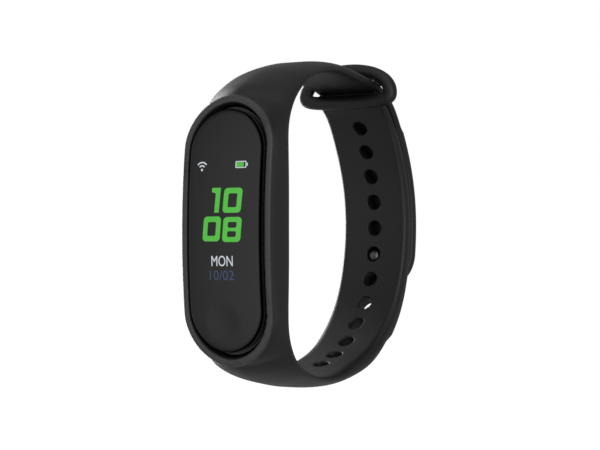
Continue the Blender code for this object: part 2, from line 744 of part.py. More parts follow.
HOUSING_WIDTH = POCKET_WIDTH - 2 * HOUSING_CLEARANCE
HOUSING_LENGTH = POCKET_LENGTH - 2 * HOUSING_CLEARANCE
SHOULDER_DEPTH = LEDGE_DEPTH - SHOULDER_CLEARANCE
BOSS_WIDTH = LEDGE_WIDTH - 2 * BOSS_CLEARANCE
BOSS_LENGTH = LEDGE_LENGTH - 2 * BOSS_CLEARANCE
FLOOR_DEPTH = BOSS_DEPTH - HOUSING_WALL
CAVITY_WIDTH = BOSS_WIDTH - 2 * HOUSING_WALL
CAVITY_LENGTH = BOSS_LENGTH - 2 * HOUSING_WALL
DISPLAY_SIZE = (CAVITY_WIDTH - 2 * DISPLAY_CLEARANCE, DISPLAY_LENGTH)
MOTOR_HALF_SPAN = oval_half_width(MOTOR_HEIGHT - MOTOR_RADIUS, CAVITY_WIDTH, CAVITY_LENGTH) - MOTOR_CLEARANCE
BATTERY_SIZE = (CAVITY_WIDTH - 2 * BATTERY_CLEARANCE, BATTERY_THICKNESS, BATTERY_LENGTH)
WINDOW_CLEARANCE = 0.1 * MM


def contact_places():
    return (("positive", CONTACT_HALF_PITCH), ("negative", -CONTACT_HALF_PITCH))


def build_housing():
    """One tray: the wide front part sits in the pocket, the boss passes the ledge to the skin."""
    round_off = 0.9 * MM
    inner_width, inner_length = HOUSING_WIDTH - 2 * HOUSING_WALL, HOUSING_LENGTH - 2 * HOUSING_WALL
    step_depth = SHOULDER_DEPTH - HOUSING_WALL
    levels = (
        (BOSS_WIDTH - 2 * round_off, BOSS_LENGTH - 2 * round_off, BOSS_DEPTH, 0.0),
        (BOSS_WIDTH - 0.6 * round_off, BOSS_LENGTH - 0.6 * round_off, BOSS_DEPTH - 0.3 * round_off, 0.0),
        (BOSS_WIDTH, BOSS_LENGTH, BOSS_DEPTH - round_off, 0.0),
        (BOSS_WIDTH, BOSS_LENGTH, SHOULDER_DEPTH, 0.0),
        (HOUSING_WIDTH, HOUSING_LENGTH, SHOULDER_DEPTH, 0.0),
        (HOUSING_WIDTH, HOUSING_LENGTH, HOUSING_FRONT, 1.0),
        (inner_width, inner_length, HOUSING_FRONT, 1.0),
        (inner_width, inner_length, step_depth, 0.0),
        (CAVITY_WIDTH, CAVITY_LENGTH, step_depth, 0.0),
        (CAVITY_WIDTH, CAVITY_LENGTH, FLOOR_DEPTH, 0.0),
    )
    housing = add_part("lower_housing", loft(oval_rings(levels)), "housing", smooth_angle=30)
    through = BOSS_DEPTH + 2 * MM
    window = slab(
        circle(SENSOR_WINDOW_RADIUS + WINDOW_CLEARANCE, 28, (0.0, SENSOR_HEIGHT)),
        FLOOR_DEPTH - 1 * MM,
        through,
    )
    combine(housing, add_cutter("sensor_hole", window))
    for name, x in contact_places():
        hole = slab(
            circle(CONTACT_RADIUS + WINDOW_CLEARANCE, 16, (x, CONTACT_HEIGHT)), FLOOR_DEPTH - 1 * MM, through
        )
        combine(housing, add_cutter(f"contact_hole_{name}", hole))


def lens_rings():
    """Sections of the cover across the face, from its foot to its head."""
    half = LENS_LENGTH / 2
    turns = np.radians(np.linspace(-86, 86, 27))
    rings = []
    for height in half * np.sin(turns):
        width = oval_half_width(height, LENS_WIDTH, LENS_LENGTH)
        sag = sag_at(height)
        rise = LENS_CROWN * (width / (LENS_WIDTH / 2)) ** 2
        ring = []
        for share in (-1.0, -0.93, -0.7, -0.35, 0.0, 0.35, 0.7, 0.93, 1.0):
            depth = LENS_EDGE_DEPTH + sag - rise * (1 - share**2)
            if abs(share) == 1.0:
                depth += 0.25 * MM
            ring.append(to_world(share * width, depth, height))
        ring.append(to_world(width, LENS_BACK_DEPTH + sag, height))
        ring.append(to_world(-width, LENS_BACK_DEPTH + sag, height))
        rings.append(ring)
    return rings


def build_lens():
    lens = add_part("front_lens", loft(lens_rings()), "lens", smooth_angle=50)
    crest = LENS_EDGE_DEPTH - LENS_CROWN + sag_at(DIMPLE_HEIGHT)
    ball = (DIMPLE_RADIUS**2 + DIMPLE_DEPTH**2) / (2 * DIMPLE_DEPTH)
    profile = [(0.0, 3 * MM), (DIMPLE_RADIUS * 1.5, 3 * MM)]
    for share in (1.5, 1.0, 0.75, 0.5, 0.25, 0.0):
        radius = share * DIMPLE_RADIUS
        profile.append((radius, ball - math.sqrt(ball**2 - radius**2) - DIMPLE_DEPTH))
    bm = turned(profile, 28)
    slope = math.atan(2 * sag_at(DIMPLE_HEIGHT) / DIMPLE_HEIGHT)
    turn = Matrix.Rotation(math.pi / 2 - slope, 4, "X")
    place = Matrix.Translation(to_world(0.0, crest, DIMPLE_HEIGHT)) @ turn
    bmesh.ops.transform(bm, matrix=place, verts=bm.verts)
    combine(lens, add_cutter("touch_dimple", bm))


def build_gasket():
    front = LENS_BACK_DEPTH + GAP
    outer = (LENS_WIDTH - 0.2 * MM, LENS_LENGTH - 0.2 * MM)
    inner = (outer[0] - 2 * GASKET_BORDER, outer[1] - 2 * GASKET_BORDER)
    levels = (
        (*outer, front, 1.0),
        (*outer, front + GASKET_DEPTH, 1.0),
        (*inner, front + GASKET_DEPTH, 1.0),
        (*inner, front, 1.0),
    )
    add_part("lens_gasket", loft(oval_rings(levels), closed=True), "foam")


# ---- Display and boards


def build_inner_frame():
    width = HOUSING_WIDTH - 2 * HOUSING_WALL - 2 * GAP
    length = HOUSING_LENGTH - 2 * HOUSING_WALL - 2 * GAP
    back = FRAME_DEPTH + FRAME_THICKNESS
    frame = add_part("inner_frame", slab(oval(width, length), FRAME_DEPTH, back), "frame")
    windows = (
        ("flex_window", rectangle(8.4 * MM, 3.0 * MM, (0.0, flex_height()))),
        ("antenna_window", rectangle(8.0 * MM, 3.4 * MM, (0.0, 17.4 * MM))),
        ("touch_window", circle(1.4 * MM, 16, (0.0, DIMPLE_HEIGHT))),
    )
    for name, outline in windows:
        cutter = slab(outline, FRAME_DEPTH - 1 * MM, back + 1 * MM)
        combine(frame, add_cutter(name, cutter))


def display_foot():
    return DISPLAY_HEIGHT - DISPLAY_SIZE[1] / 2


def flex_height():
    """Where the display's ribbon passes the frame."""
    return display_foot() - 1.3 * MM


def build_display():
    width, length = DISPLAY_SIZE
    panel = block(width, DISPLAY_THICKNESS, length, 0.0, DISPLAY_DEPTH, DISPLAY_HEIGHT)
    rounded(add_part("display_panel", panel, "display"), 0.15 * MM, 1)
    front = DISPLAY_DEPTH + DISPLAY_THICKNESS + FINE_GAP
    thickness = FRAME_DEPTH - FINE_GAP - front
    backing = block(width - 1 * MM, thickness, length - 2 * MM, 0.0, front, DISPLAY_HEIGHT)
    add_part("display_backing", backing, "foam")
    start = DISPLAY_DEPTH + DISPLAY_THICKNESS / 2
    bend = flex_height()
    line = natural_spline(
        (
            (start, display_foot() - FINE_GAP),
            (start, bend + 0.7 * MM),
            (start + 0.7 * MM, bend),
            (FRAME_DEPTH + FRAME_THICKNESS / 2, bend),
            (BOARD_DEPTH - FINE_GAP, bend),
        ),
        12,
    )
    add_part("display_flex", ribbon(line, 3.6 * MM, 0.2 * MM), "polyimide")
    electrode = slab(circle(3.0 * MM, 24, (0.0, DIMPLE_HEIGHT)), FRAME_DEPTH - 0.6 * MM, FRAME_DEPTH - FINE_GAP)
    add_part("touch_electrode", electrode, "copper")


def build_boards():
    width = CAVITY_WIDTH - 2 * BOARD_END_CLEARANCE
    length = CAVITY_LENGTH - 2 * BOARD_END_CLEARANCE
    board = slab(oval(width, length, 28), BOARD_DEPTH, BOARD_DEPTH + BOARD_THICKNESS)
    add_part("main_board", board, "board")
    front = BOARD_DEPTH - FINE_GAP - CHIP_THICKNESS
    # width, length, x, height, finish
    chips = {
        "radio_chip": (4.8, 4.8, -1.2, 5.0, "chip"),
        "flash_memory": (3.0, 4.0, 1.6, -1.6, "chip"),
        "accelerometer": (2.4, 2.4, -2.6, -3.4, "chip"),
        "crystal": (1.6, 2.4, 3.4, 5.2, "steel"),
        "chip_antenna": (7.0, 2.0, 0.0, 15.4, "ceramic"),
    }
    for name, (wide, long, x, height, finish) in chips.items():
        chip = block(wide * MM, CHIP_THICKNESS, long * MM, x * MM, front, height * MM)
        add_part(name, chip, finish)


def build_battery():
    width, thickness, length = BATTERY_SIZE
    front = BOARD_DEPTH + BOARD_THICKNESS + GAP
    cell = block(width, thickness, length, 0.0, front, BATTERY_HEIGHT)
    rounded(add_part("battery_cell", cell, "battery"), 0.5 * MM, 2)
    head = BATTERY_HEIGHT + length / 2
    lead_depth = front + 0.6 * MM
    for name, x in contact_places():
        finish = "red_wire" if name == "positive" else "black_wire"
        side = 4.1 * MM * math.copysign(1, x)
        points = (
            (side, front + 1.6 * MM, head + FINE_GAP),
            (side, front + 1.5 * MM, head + 0.7 * MM),
            (side * 1.02, lead_depth, head + 1.5 * MM),
            (side, front - 0.05 * MM, head + 1.9 * MM),
        )
        add_wire(f"battery_lead_{name}", points, 0.22 * MM, finish)


def add_wire(name, points, radius, finish):
    """A round wire along a smooth line, with filled ends."""
    curve = bpy.data.curves.new(name, "CURVE")
    curve.dimensions = "3D"
    curve.bevel_depth = radius
    curve.bevel_resolution = 1
    curve.use_fill_caps = True
    line = curve.splines.new("POLY")
    line.points.add(len(points) - 1)
    for spot, (x, depth, height) in zip(line.points, points):
        spot.co = (*to_world(x, depth, height), 1.0)
    obj = bpy.data.objects.new(name, curve)
    curve.materials.append(finish_of(finish))
    PARTS.objects.link(obj)


# ---- Vibration motor, optical sensor and contacts


def build_motor():
    case_length = MOTOR_CASE_LENGTH
    case_left = -MOTOR_HALF_SPAN
    case_right = case_left + case_length
    centre = to_world(0.0, MOTOR_DEPTH, MOTOR_HEIGHT)
    case = rod(MOTOR_RADIUS, case_length, centre + Vector((case_left + case_length / 2, 0, 0)))
    case = add_part("motor_case", case, "steel")
    bore = rod(MOTOR_SHAFT_RADIUS + FINE_GAP, 3 * MM, centre + Vector((case_right, 0, 0)), steps=16)
    combine(case, add_cutter("motor_bore", bore))
    shaft_start = case_right - 1.2 * MM
    shaft_end = MOTOR_HALF_SPAN
    shaft = rod(
        MOTOR_SHAFT_RADIUS,
        shaft_end - shaft_start,
        centre + Vector(((shaft_start + shaft_end) / 2, 0, 0)),
        steps=12,
    )
    add_part("motor_shaft", shaft, "steel")
    # eccentric weight: half a disc on one side of the shaft
    weight_start = case_right + 0.5 * MM
    weight_end = shaft_end - 0.4 * MM
    outline = [(MOTOR_RADIUS - 0.1 * MM) * np.array(p) for p in circle(1.0, 24) if p[1] < 0.2]
    outline.sort(key=lambda p: (math.atan2(p[1], p[0]) - math.radians(100)) % (2 * math.pi))
    ends = []
    for x in (weight_start, weight_end):
        ends.append([centre + Vector((x, p[0], p[1])) for p in outline])
    weight = add_part("motor_weight", loft(ends), "tungsten")
    hole = rod(
        MOTOR_SHAFT_RADIUS + 0.05 * MM,
        8 * MM,
        centre + Vector(((weight_start + weight_end) / 2, 0, 0)),
        steps=12,
    )
    combine(weight, add_cutter("weight_bore", hole))


def build_sensor():
    board = block(7.6 * MM, 0.5 * MM, 7.0 * MM, 0.0, SENSOR_BOARD_DEPTH, SENSOR_HEIGHT)
    add_part("sensor_board", board, "board")
    front = SENSOR_BOARD_DEPTH + 0.5 * MM + FINE_GAP
    pieces = {
        "green_led_1": (1.3 * MM, 2.2 * MM, "led"),
        "green_led_2": (1.3 * MM, -2.2 * MM, "led"),
        "photodiode": (1.8 * MM, 0.0, "chip"),
    }
    baffle_back = FLOOR_DEPTH - FINE_GAP
    baffle = slab(circle(3.4 * MM, 28, (0.0, SENSOR_HEIGHT)), front, baffle_back)
    baffle = add_part("light_baffle", baffle, "foam")
    for name, (size, rise, finish) in pieces.items():
        height = SENSOR_HEIGHT + rise
        add_part(name, block(size, 0.7 * MM, size, 0.0, front, height), finish)
        room = block(size + 4 * FINE_GAP, 6 * MM, size + 4 * FINE_GAP, 0.0, front - 2 * MM, height)
        combine(baffle, add_cutter(f"{name}_room", room))
    window = slab(
        circle(SENSOR_WINDOW_RADIUS, 28, (0.0, SENSOR_HEIGHT)), FLOOR_DEPTH, BOSS_DEPTH + SENSOR_WINDOW_PROUD
    )
    rounded(add_part("sensor_window", window, "window"), 0.15 * MM, 1)


def build_contacts():
    board_back = BOARD_DEPTH + BOARD_THICKNESS
    front = FLOOR_DEPTH - 0.3 * MM
    for name, x in contact_places():
        disc = slab(circle(CONTACT_RADIUS, 20, (x, CONTACT_HEIGHT)), front, BOSS_DEPTH)
        add_part(f"contact_{name}", disc, "gold")
        start, end = board_back + FINE_GAP, front - FINE_GAP
        rise = (end - start) / 3
        line = (
            (start + 0.1 * MM, CONTACT_HEIGHT - 0.9 * MM),
            (start + 0.1 * MM, CONTACT_HEIGHT + 0.5 * MM),
            (start + rise, CONTACT_HEIGHT + 0.9 * MM),
            (start + 2 * rise, CONTACT_HEIGHT - 0.1 * MM),
            (end - 0.15 * MM, CONTACT_HEIGHT + 0.1 * MM),
            (end - 0.15 * MM, CONTACT_HEIGHT + 0.8 * MM),
        )
        add_part(f"contact_spring_{name}", ribbon(line, 0.5 * MM, 0.15 * MM, x), "copper")


clear_scene()
PARTS = new_collection("fitness_tracker_band")
CUTTERS = new_collection("cutters")

build_cradle()
build_keeper_ring()
build_lower_strap()
build_upper_strap()
build_tail()
build_stud()
build_housing()
build_lens()
build_gasket()
build_inner_frame()
build_display()
build_boards()
build_battery()
build_motor()
build_sensor()
build_contacts()
CUTTERS.hide_render = True
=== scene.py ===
import math

import bmesh
import bpy
import numpy as np
from mathutils import Matrix, Vector


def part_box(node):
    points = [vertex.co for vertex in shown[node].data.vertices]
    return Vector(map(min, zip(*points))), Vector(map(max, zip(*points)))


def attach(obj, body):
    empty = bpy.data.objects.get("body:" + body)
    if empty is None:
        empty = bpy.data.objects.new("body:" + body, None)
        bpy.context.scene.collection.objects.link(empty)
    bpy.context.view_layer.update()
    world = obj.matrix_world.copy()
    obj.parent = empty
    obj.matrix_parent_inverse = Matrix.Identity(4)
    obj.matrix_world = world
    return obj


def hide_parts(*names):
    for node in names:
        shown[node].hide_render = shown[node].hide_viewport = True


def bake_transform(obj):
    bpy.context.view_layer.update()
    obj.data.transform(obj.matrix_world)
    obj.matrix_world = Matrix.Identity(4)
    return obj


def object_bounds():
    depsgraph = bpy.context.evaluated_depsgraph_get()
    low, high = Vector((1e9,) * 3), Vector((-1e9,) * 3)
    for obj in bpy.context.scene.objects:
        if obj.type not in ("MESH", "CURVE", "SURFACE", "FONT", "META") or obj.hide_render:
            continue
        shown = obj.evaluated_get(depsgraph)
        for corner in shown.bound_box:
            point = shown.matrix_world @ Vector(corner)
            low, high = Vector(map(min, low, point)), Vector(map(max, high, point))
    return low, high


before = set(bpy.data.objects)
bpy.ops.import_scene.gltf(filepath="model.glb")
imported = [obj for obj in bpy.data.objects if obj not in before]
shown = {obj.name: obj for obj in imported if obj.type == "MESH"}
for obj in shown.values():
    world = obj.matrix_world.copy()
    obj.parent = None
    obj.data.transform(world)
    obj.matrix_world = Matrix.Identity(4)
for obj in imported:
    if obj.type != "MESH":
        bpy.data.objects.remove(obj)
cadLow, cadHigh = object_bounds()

# A wrist band that holds a curved display capsule. X runs along the wrist, the display
# faces -Y and +Z is up along it. Lengths are in metres, and mm turns millimetres into them.
mm = 0.001


# ---- shader wiring

class Wire:
    # A node's output, so that shader maths can be written as an expression.
    def __init__(self, nodes, socket):
        self.nodes = nodes
        self.socket = socket

    def maths(self, operation, *values, clamp=False):
        settings = dict(operation=operation, use_clamp=clamp)
        return self.nodes.node("Math", settings, dict(enumerate(values)))

    def __add__(self, other):
        return self.maths("ADD", self, other)

    def __sub__(self, other):
        return self.maths("SUBTRACT", self, other)

    def __rsub__(self, other):
        return self.maths("SUBTRACT", other, self)

    def __mul__(self, other):
        return self.maths("MULTIPLY", self, other)

    def __gt__(self, other):
        return self.maths("GREATER_THAN", self, other)

    def clamped(self):
        return self.maths("ADD", self, 0.0, clamp=True)

    def between(self, low, high):
        # 0 below low, 1 above high
        settings = dict(interpolation_type="SMOOTHSTEP")
        return self.nodes.node("MapRange", settings, {0: self, 1: low, 2: high})

    __radd__ = __add__
    __rmul__ = __mul__


class Nodes:
    # A node tree and the nodes that several finishes use.
    def __init__(self, tree):
        self.tree = tree

    def node(self, kind, settings=None, inputs=None, output=0):
        # settings are the node's own, and inputs are values or wires for its sockets
        made = self.tree.nodes.new("ShaderNode" + kind)
        for key, value in (settings or {}).items():
            setattr(made, key, value)
        for key, value in (inputs or {}).items():
            self.feed(made.inputs[key], value)
        return Wire(self, made.outputs[output]) if made.outputs else made

    def feed(self, socket, value):
        if isinstance(value, Wire):
            self.tree.links.new(value.socket, socket)
        elif isinstance(value, tuple) and len(value) == 3 and socket.type == "RGBA":
            socket.default_value = (*value, 1.0)
        else:
            socket.default_value = value

    def axis(self, vector, letter):
        return self.node("SeparateXYZ", None, {"Vector": vector}, output=letter)

    def stretched(self, place, amounts):
        return self.node("VectorMath", dict(operation="MULTIPLY"), {0: place, 1: amounts})

    def noise(self, place, size, detail=3.0, roughness=0.55):
        # size is a patch's width in millimetres
        values = {"Vector": place, "Scale": 1 / size, "Detail": detail, "Roughness": roughness}
        return self.node("TexNoise", None, values)

    def cells(self, place, size, feature="F1"):
        return self.node("TexVoronoi", dict(feature=feature), {"Vector": place, "Scale": 1 / size})

    def mixed(self, share, first, second):
        # first and second are colours, (r, g, b) or wires
        inputs = {"Factor": share, 6: first, 7: second}
        return self.node("Mix", dict(data_type="RGBA"), inputs, output=2)

    def bump(self, height, depth, normal=None):
        # height runs from 0 to 1 over a depth in millimetres
        inputs = {"Height": height, "Strength": 1.0, "Distance": depth * mm}
        if normal is not None:
            inputs["Normal"] = normal
        return self.node("Bump", None, inputs)


class Finish(Nodes):
    # A material and its surface shader.
    def __init__(self, name, **uniform):
        self.material = bpy.data.materials.new(name)
        self.material.use_nodes = True
        super().__init__(self.material.node_tree)
        self.shader = self.tree.nodes["Principled BSDF"]
        for socket, value in uniform.items():
            self.shader.inputs[socket.replace("_", " ")].default_value = value

    def place(self):
        # where a point lies on the piece at rest, in millimetres
        at = self.node("Attribute", dict(attribute_name="place"), output="Vector")
        return self.node("VectorMath", dict(operation="SCALE"), {0: at, "Scale": 1 / mm})

    def to(self, **links):
        # feeds the shader's sockets, and gives the material
        for socket, value in links.items():
            self.feed(self.shader.inputs[socket.replace("_", " ")], value)
        return self.material


# ---- finishes

silicone = dict(
    shade=(0.008, 0.008, 0.0085),
    dusty=(0.013, 0.013, 0.0135),
    paintedRimHighlight=(0.045, 0.045, 0.047),  # painted highlight along the rim round the display
    rough=0.47,
    rimPlane=-34.0,  # where the rim's middle stands, in millimetres
    rimSag=2.03 / 24.15**2,  # and how it falls back towards its ends
)


def makeSilicone(name):
    # fine matte moulding: a satin grain, faint handling patches, a little dust and a painted highlight
    # along the rim
    f = Finish(name, IOR=1.42)
    place = f.place()
    patches = f.noise(place, 6.0, 4.0)
    grain = f.noise(place, 0.16, 2.0)
    specks = f.cells(place, 0.9).between(0.09, 0.03) * f.noise(place, 3.5).between(0.5, 0.62)
    shade = f.mixed(patches.between(0.35, 0.75) * 0.5, silicone["shade"], silicone["dusty"])
    shade = f.mixed(specks * 0.35, shade, (0.06, 0.06, 0.06))
    # painted highlight: the front crest of the rim is lighter, standing in for light caught on the lip,
    # broken up by the handling patches
    up = f.axis(place, "Z")
    back = f.axis(place, "Y") - silicone["rimPlane"]
    rim = (back - up * up * silicone["rimSag"]).between(0.75, 0.2)
    shade = f.mixed(rim * patches.between(0.1, 0.5), shade, silicone["paintedRimHighlight"])
    rough = silicone["rough"] + (patches - 0.5) * 0.14 + (grain - 0.5) * 0.1
    moulded = f.bump(f.noise(place, 2.4, 2.0), 0.012)
    return f.to(Base_Color=shade, Roughness=rough, Normal=f.bump(grain, 0.005, moulded))


def makeGlass(name):
    # black cover glass with faint wipe marks and a painted shade on its curved border
    f = Finish(name, IOR=1.5)
    place = f.place()
    wiped = f.noise(f.stretched(place, (1.0, 1.0, 0.35)), 3.0, 5.0, 0.6)
    greasy = wiped.between(0.48, 0.72)
    dust = f.cells(place, 1.6).between(0.035, 0.015)
    shade = f.mixed(dust * 0.5, (0.0015, 0.0015, 0.0018), (0.05, 0.05, 0.05))
    rough = 0.075 + greasy * 0.07 + dust * 0.3
    ripple = f.bump(f.noise(place, 7.0, 1.0), 0.003)
    normal = f.node("NewGeometry", output="Normal")
    border = f.axis(normal, "Y").between(-0.96, -0.8)
    shade = f.mixed(border, shade, (0.0, 0.0, 0.0))  # painted shade: the curved border is black here and metallic below, so it reflects nothing and reads as a dark gap at the rim
    return f.to(Base_Color=shade, Roughness=rough, Metallic=border, Normal=ripple)


def makeGlow(name, shade, strength, dot=0.16):
    # lit picture elements behind the glass, seen as a fine grid
    f = Finish(name, IOR=1.5, Emission_Strength=strength)
    place = f.place()
    waves = []
    for letter in ("X", "Z"):
        turn = f.axis(place, letter) * (math.tau / dot)
        waves.append((f.node("Math", dict(operation="SINE"), {0: turn}) + 1.0) * 0.5)
    level = 0.9 + waves[0] * waves[1] * 0.1 - f.noise(place, 1.2).between(0.4, 0.8) * 0.08
    lit = f.mixed(level.clamped(), (0.0, 0.0, 0.0), shade)
    rough = 0.09 + f.noise(place, 2.0) * 0.04
    return f.to(Base_Color=(0.002, 0.002, 0.002), Emission_Color=lit, Roughness=rough)


def makePlastic(name, shade, rough, grain=0.22, depth=0.006, spread=0.25):
    # moulded plastic with a spark-eroded grain
    f = Finish(name, IOR=1.5)
    place = f.place()
    texture = f.noise(place, grain, 3.0)
    cloudy = f.noise(place, 4.0, 4.0)
    pale = tuple(min(1.0, c * (1 + spread) + 0.002) for c in shade)
    colour = f.mixed(cloudy.between(0.3, 0.75), shade, pale)
    level = rough + (cloudy - 0.5) * 0.12 + (texture - 0.5) * 0.08
    return f.to(Base_Color=colour, Roughness=level, Normal=f.bump(texture, depth))


def makeMetal(name, shade, rough, along=(1.0, 1.0, 0.08), depth=0.003):
    # machined or rolled metal: fine lines one way, stains here and there
    f = Finish(name, Metallic=1.0)
    place = f.place()
    lines = f.noise(f.stretched(place, along), 0.12, 3.0)
    stains = f.noise(place, 1.8, 4.0).between(0.45, 0.8)
    dull = tuple(c * 0.72 for c in shade)
    colour = f.mixed(stains * 0.6, shade, dull)
    level = rough + (lines - 0.5) * 0.16 + stains * 0.12
    return f.to(Base_Color=colour, Roughness=level, Normal=f.bump(lines, depth))


def makeBoard(name, shade):
    # solder mask over traces
    f = Finish(name, IOR=1.5)
    place = f.place()
    squares = dict(feature="F1", distance="CHEBYCHEV")
    cell = f.node("TexVoronoi", squares, {"Vector": place, "Scale": 1.1}, output="Color")
    traces = f.axis(cell, "X") > 0.5
    pale = tuple(c * 1.6 for c in shade)
    colour = f.mixed(traces * 0.6, shade, pale)
    rough = 0.42 + traces * 0.1 + f.noise(place, 0.3) * 0.08
    return f.to(Base_Color=colour, Roughness=rough, Normal=f.bump(traces, 0.02))


# ---- mesh helpers

def addObject(name, mesh):
    piece = bpy.data.objects.new(name, mesh)
    bpy.context.scene.collection.objects.link(piece)
    return piece


def meshFrom(name, points, faces):
    mesh = bpy.data.meshes.new(name)
    mesh.from_pydata([tuple(p) for p in points], [], faces)
    bm = bmesh.new()
    bm.from_mesh(mesh)
    bmesh.ops.remove_doubles(bm, verts=bm.verts, dist=1e-7)
    bmesh.ops.dissolve_degenerate(bm, edges=bm.edges, dist=1e-8)
    bmesh.ops.recalc_face_normals(bm, faces=bm.faces)
    bm.to_mesh(mesh)
    bm.free()
    return addObject(name, mesh)


def skinOf(name, rings, closed=False):
    # a skin over rings with as many points each, capped at its ends or joined round
    count, around = len(rings), len(rings[0])
    faces = []
    for k in range(count if closed else count - 1):
        for i in range(around):
            j = (i + 1) % around
            n = (k + 1) % count
            faces.append((k * around + i, k * around + j, n * around + j, n * around + i))
    if not closed:
        faces.append(tuple(range(around)))
        faces.append(tuple((count - 1) * around + i for i in range(around)))
    return meshFrom(name, np.concatenate(rings), faces)


def applied(piece):
    # the piece's mesh with its modifiers made part of it
    shape = piece.evaluated_get(bpy.context.evaluated_depsgraph_get())
    mesh = bpy.data.meshes.new_from_object(shape)
    old = piece.data
    piece.modifiers.clear()
    piece.data = mesh
    bpy.data.meshes.remove(old)
    return piece


def modified(piece, kind, **settings):
    change = piece.modifiers.new(kind.lower(), kind)
    for key, value in settings.items():
        setattr(change, key, value)
    return applied(piece)


def combined(piece, other, operation="DIFFERENCE"):
    made = modified(piece, "BOOLEAN", operation=operation, solver="EXACT", object=other)
    bpy.data.objects.remove(other)
    return made


def joined(name, pieces):
    # several closed shapes in one mesh, overlaps and all
    bm = bmesh.new()
    for piece in pieces:
        bm.from_mesh(piece.data)
        bpy.data.objects.remove(piece)
    mesh = bpy.data.meshes.new(name)
    bm.to_mesh(mesh)
    bm.free()
    return addObject(name, mesh)


def moulded(piece, voxel, passes, faces):
    # one smooth skin with softened edges, thinned to about so many triangles
    piece = modified(piece, "REMESH", mode="VOXEL", voxel_size=voxel)
    piece = modified(piece, "SMOOTH", factor=0.5, iterations=passes)
    triangles = 2 * len(piece.data.polygons)
    if triangles > faces:
        piece = modified(piece, "DECIMATE", ratio=faces / triangles)
    return piece


def finished(piece, material, body, slot, *nodes, sharp=None):
    # smooth shading, the finish and its rest places, then the piece rides on its body
    mesh = piece.data
    mesh.shade_smooth()
    if sharp:
        mesh.set_sharp_from_angle(angle=math.radians(sharp))
    mesh.materials.clear()
    mesh.materials.append(material)
    keepPlace(mesh)
    if nodes:
        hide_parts(*nodes)
    if body:
        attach(piece, body)
    return piece


def keepPlace(mesh):
    points = np.empty(len(mesh.vertices) * 3, np.float32)
    mesh.vertices.foreach_get("co", points)
    mesh.attributes.new("place", "FLOAT_VECTOR", "POINT").data.foreach_set("vector", points)


def bell(value, start, end):
    # 0 at start to 1 at end with a level beginning and end
    t = min(max((value - start) / (end - start), 0.0), 1.0)
    return t * t * (3 - 2 * t)


def steps(start, end, spacing):
    return np.linspace(start, end, max(2, round(abs(end - start) / spacing) + 1))


def signedPower(value, power):
    return math.copysign(abs(value) ** power, value)


# ---- the face's ovals

face = dict(
    rimY=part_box("front_lens")[0].y + 0.99 * mm,  # the rim's plane at the middle of the face
    sag=2.03 * mm,  # how far the opening's ends stand back from that
    sagReach=24.15 * mm,
    endPower=1.89,  # of the superellipse ends
)


def sagAt(z):
    return face["sag"] * (z / face["sagReach"]) ** 2


def ovalOutline(width, length, ends=96, sides=70):
    # (x, z) round an oval with straight sides, from the right side up and round
    radius = width / 2
    straight = length / 2 - radius
    power = 2 / face["endPower"]
    half = []
    for turn in np.linspace(0.0, math.pi, ends // 2 + 1):
        x = radius * signedPower(math.cos(turn), power)
        half.append((x, straight + radius * abs(math.sin(turn)) ** power))
    half += [(-radius, z) for z in np.linspace(straight, -straight, sides)[1:-1]]
    return half + [(-x, -z) for x, z in half]


def ovalHalfWidth(z, width, length):
    radius = width / 2
    share = min(max(abs(z) - (length / 2 - radius), 0.0) / radius, 1.0)
    return radius * (1 - share ** face["endPower"]) ** (1 / face["endPower"])


def ovalRings(levels):
    # rings from (width, length, depth behind the rim's plane, share of the sag)
    rings = []
    for width, length, depth, share in levels:
        outline = ovalOutline(width, length)
        rings.append([(x, face["rimY"] + depth + share * sagAt(z), z) for x, z in outline])
    return rings


# ---- the loop's lines

loop = dict(
    cradleDepth=7.7 * mm,  # from the rim's plane to the cradle's wrist side
    farDepth=56.8 * mm,  # to the loop's far inner wall
    top=31.35 * mm,
    bottom=28.1 * mm,
    # inner lines: (share of the depth from cradle to far wall, share of the height)
    lower=(
        (0.0, 0.0), (0.0, 0.28), (0.0, 0.55), (0.017, 0.72), (0.08, 0.866), (0.18, 0.957),
        (0.3, 1.0), (0.44, 0.99), (0.577, 0.932), (0.708, 0.85), (0.82, 0.708), (0.91, 0.525),
        (0.97, 0.29), (0.998, 0.03), (0.995, -0.22), (0.962, -0.46), (0.905, -0.685),
        (0.829, -0.884), (0.79, -0.94),
    ),
    upper=(
        (0.0, 0.0), (0.0, 0.25), (0.0, 0.5), (0.013, 0.656), (0.075, 0.8), (0.18, 0.922),
        (0.3, 0.982), (0.43, 1.0), (0.56, 0.983), (0.68, 0.954),
    ),
    gap=0.3 * mm,  # between the holed strap and the tail outside it
)


def naturalSpline(points, samples):
    # a dense line through the points: a natural cubic spline over the chord length
    points = np.asarray(points, float)
    knots = np.r_[0.0, np.cumsum(np.hypot(*np.diff(points, axis=0).T))]
    gaps = np.diff(knots)
    count = len(points)
    matrix = np.eye(count)
    right = np.zeros((count, 2))
    for i in range(1, count - 1):
        matrix[i, i - 1 : i + 2] = gaps[i - 1], 2 * (gaps[i - 1] + gaps[i]), gaps[i]
        slopes = np.diff(points[i - 1 : i + 2], axis=0) / gaps[i - 1 : i + 1, None]
        right[i] = 6 * (slopes[1] - slopes[0])
    bends = np.linalg.solve(matrix, right)
    at = np.linspace(0.0, knots[-1], samples)
    i = np.clip(np.searchsorted(knots, at) - 1, 0, count - 2)
    h = gaps[i][:, None]
    before = (at - knots[i])[:, None]
    after = h - before
    curved = (bends[i] * after**3 + bends[i + 1] * before**3) / (6 * h)
    flat = (points[i] / h - bends[i] * h / 6) * after
    flat += (points[i + 1] / h - bends[i + 1] * h / 6) * before
    return curved + flat


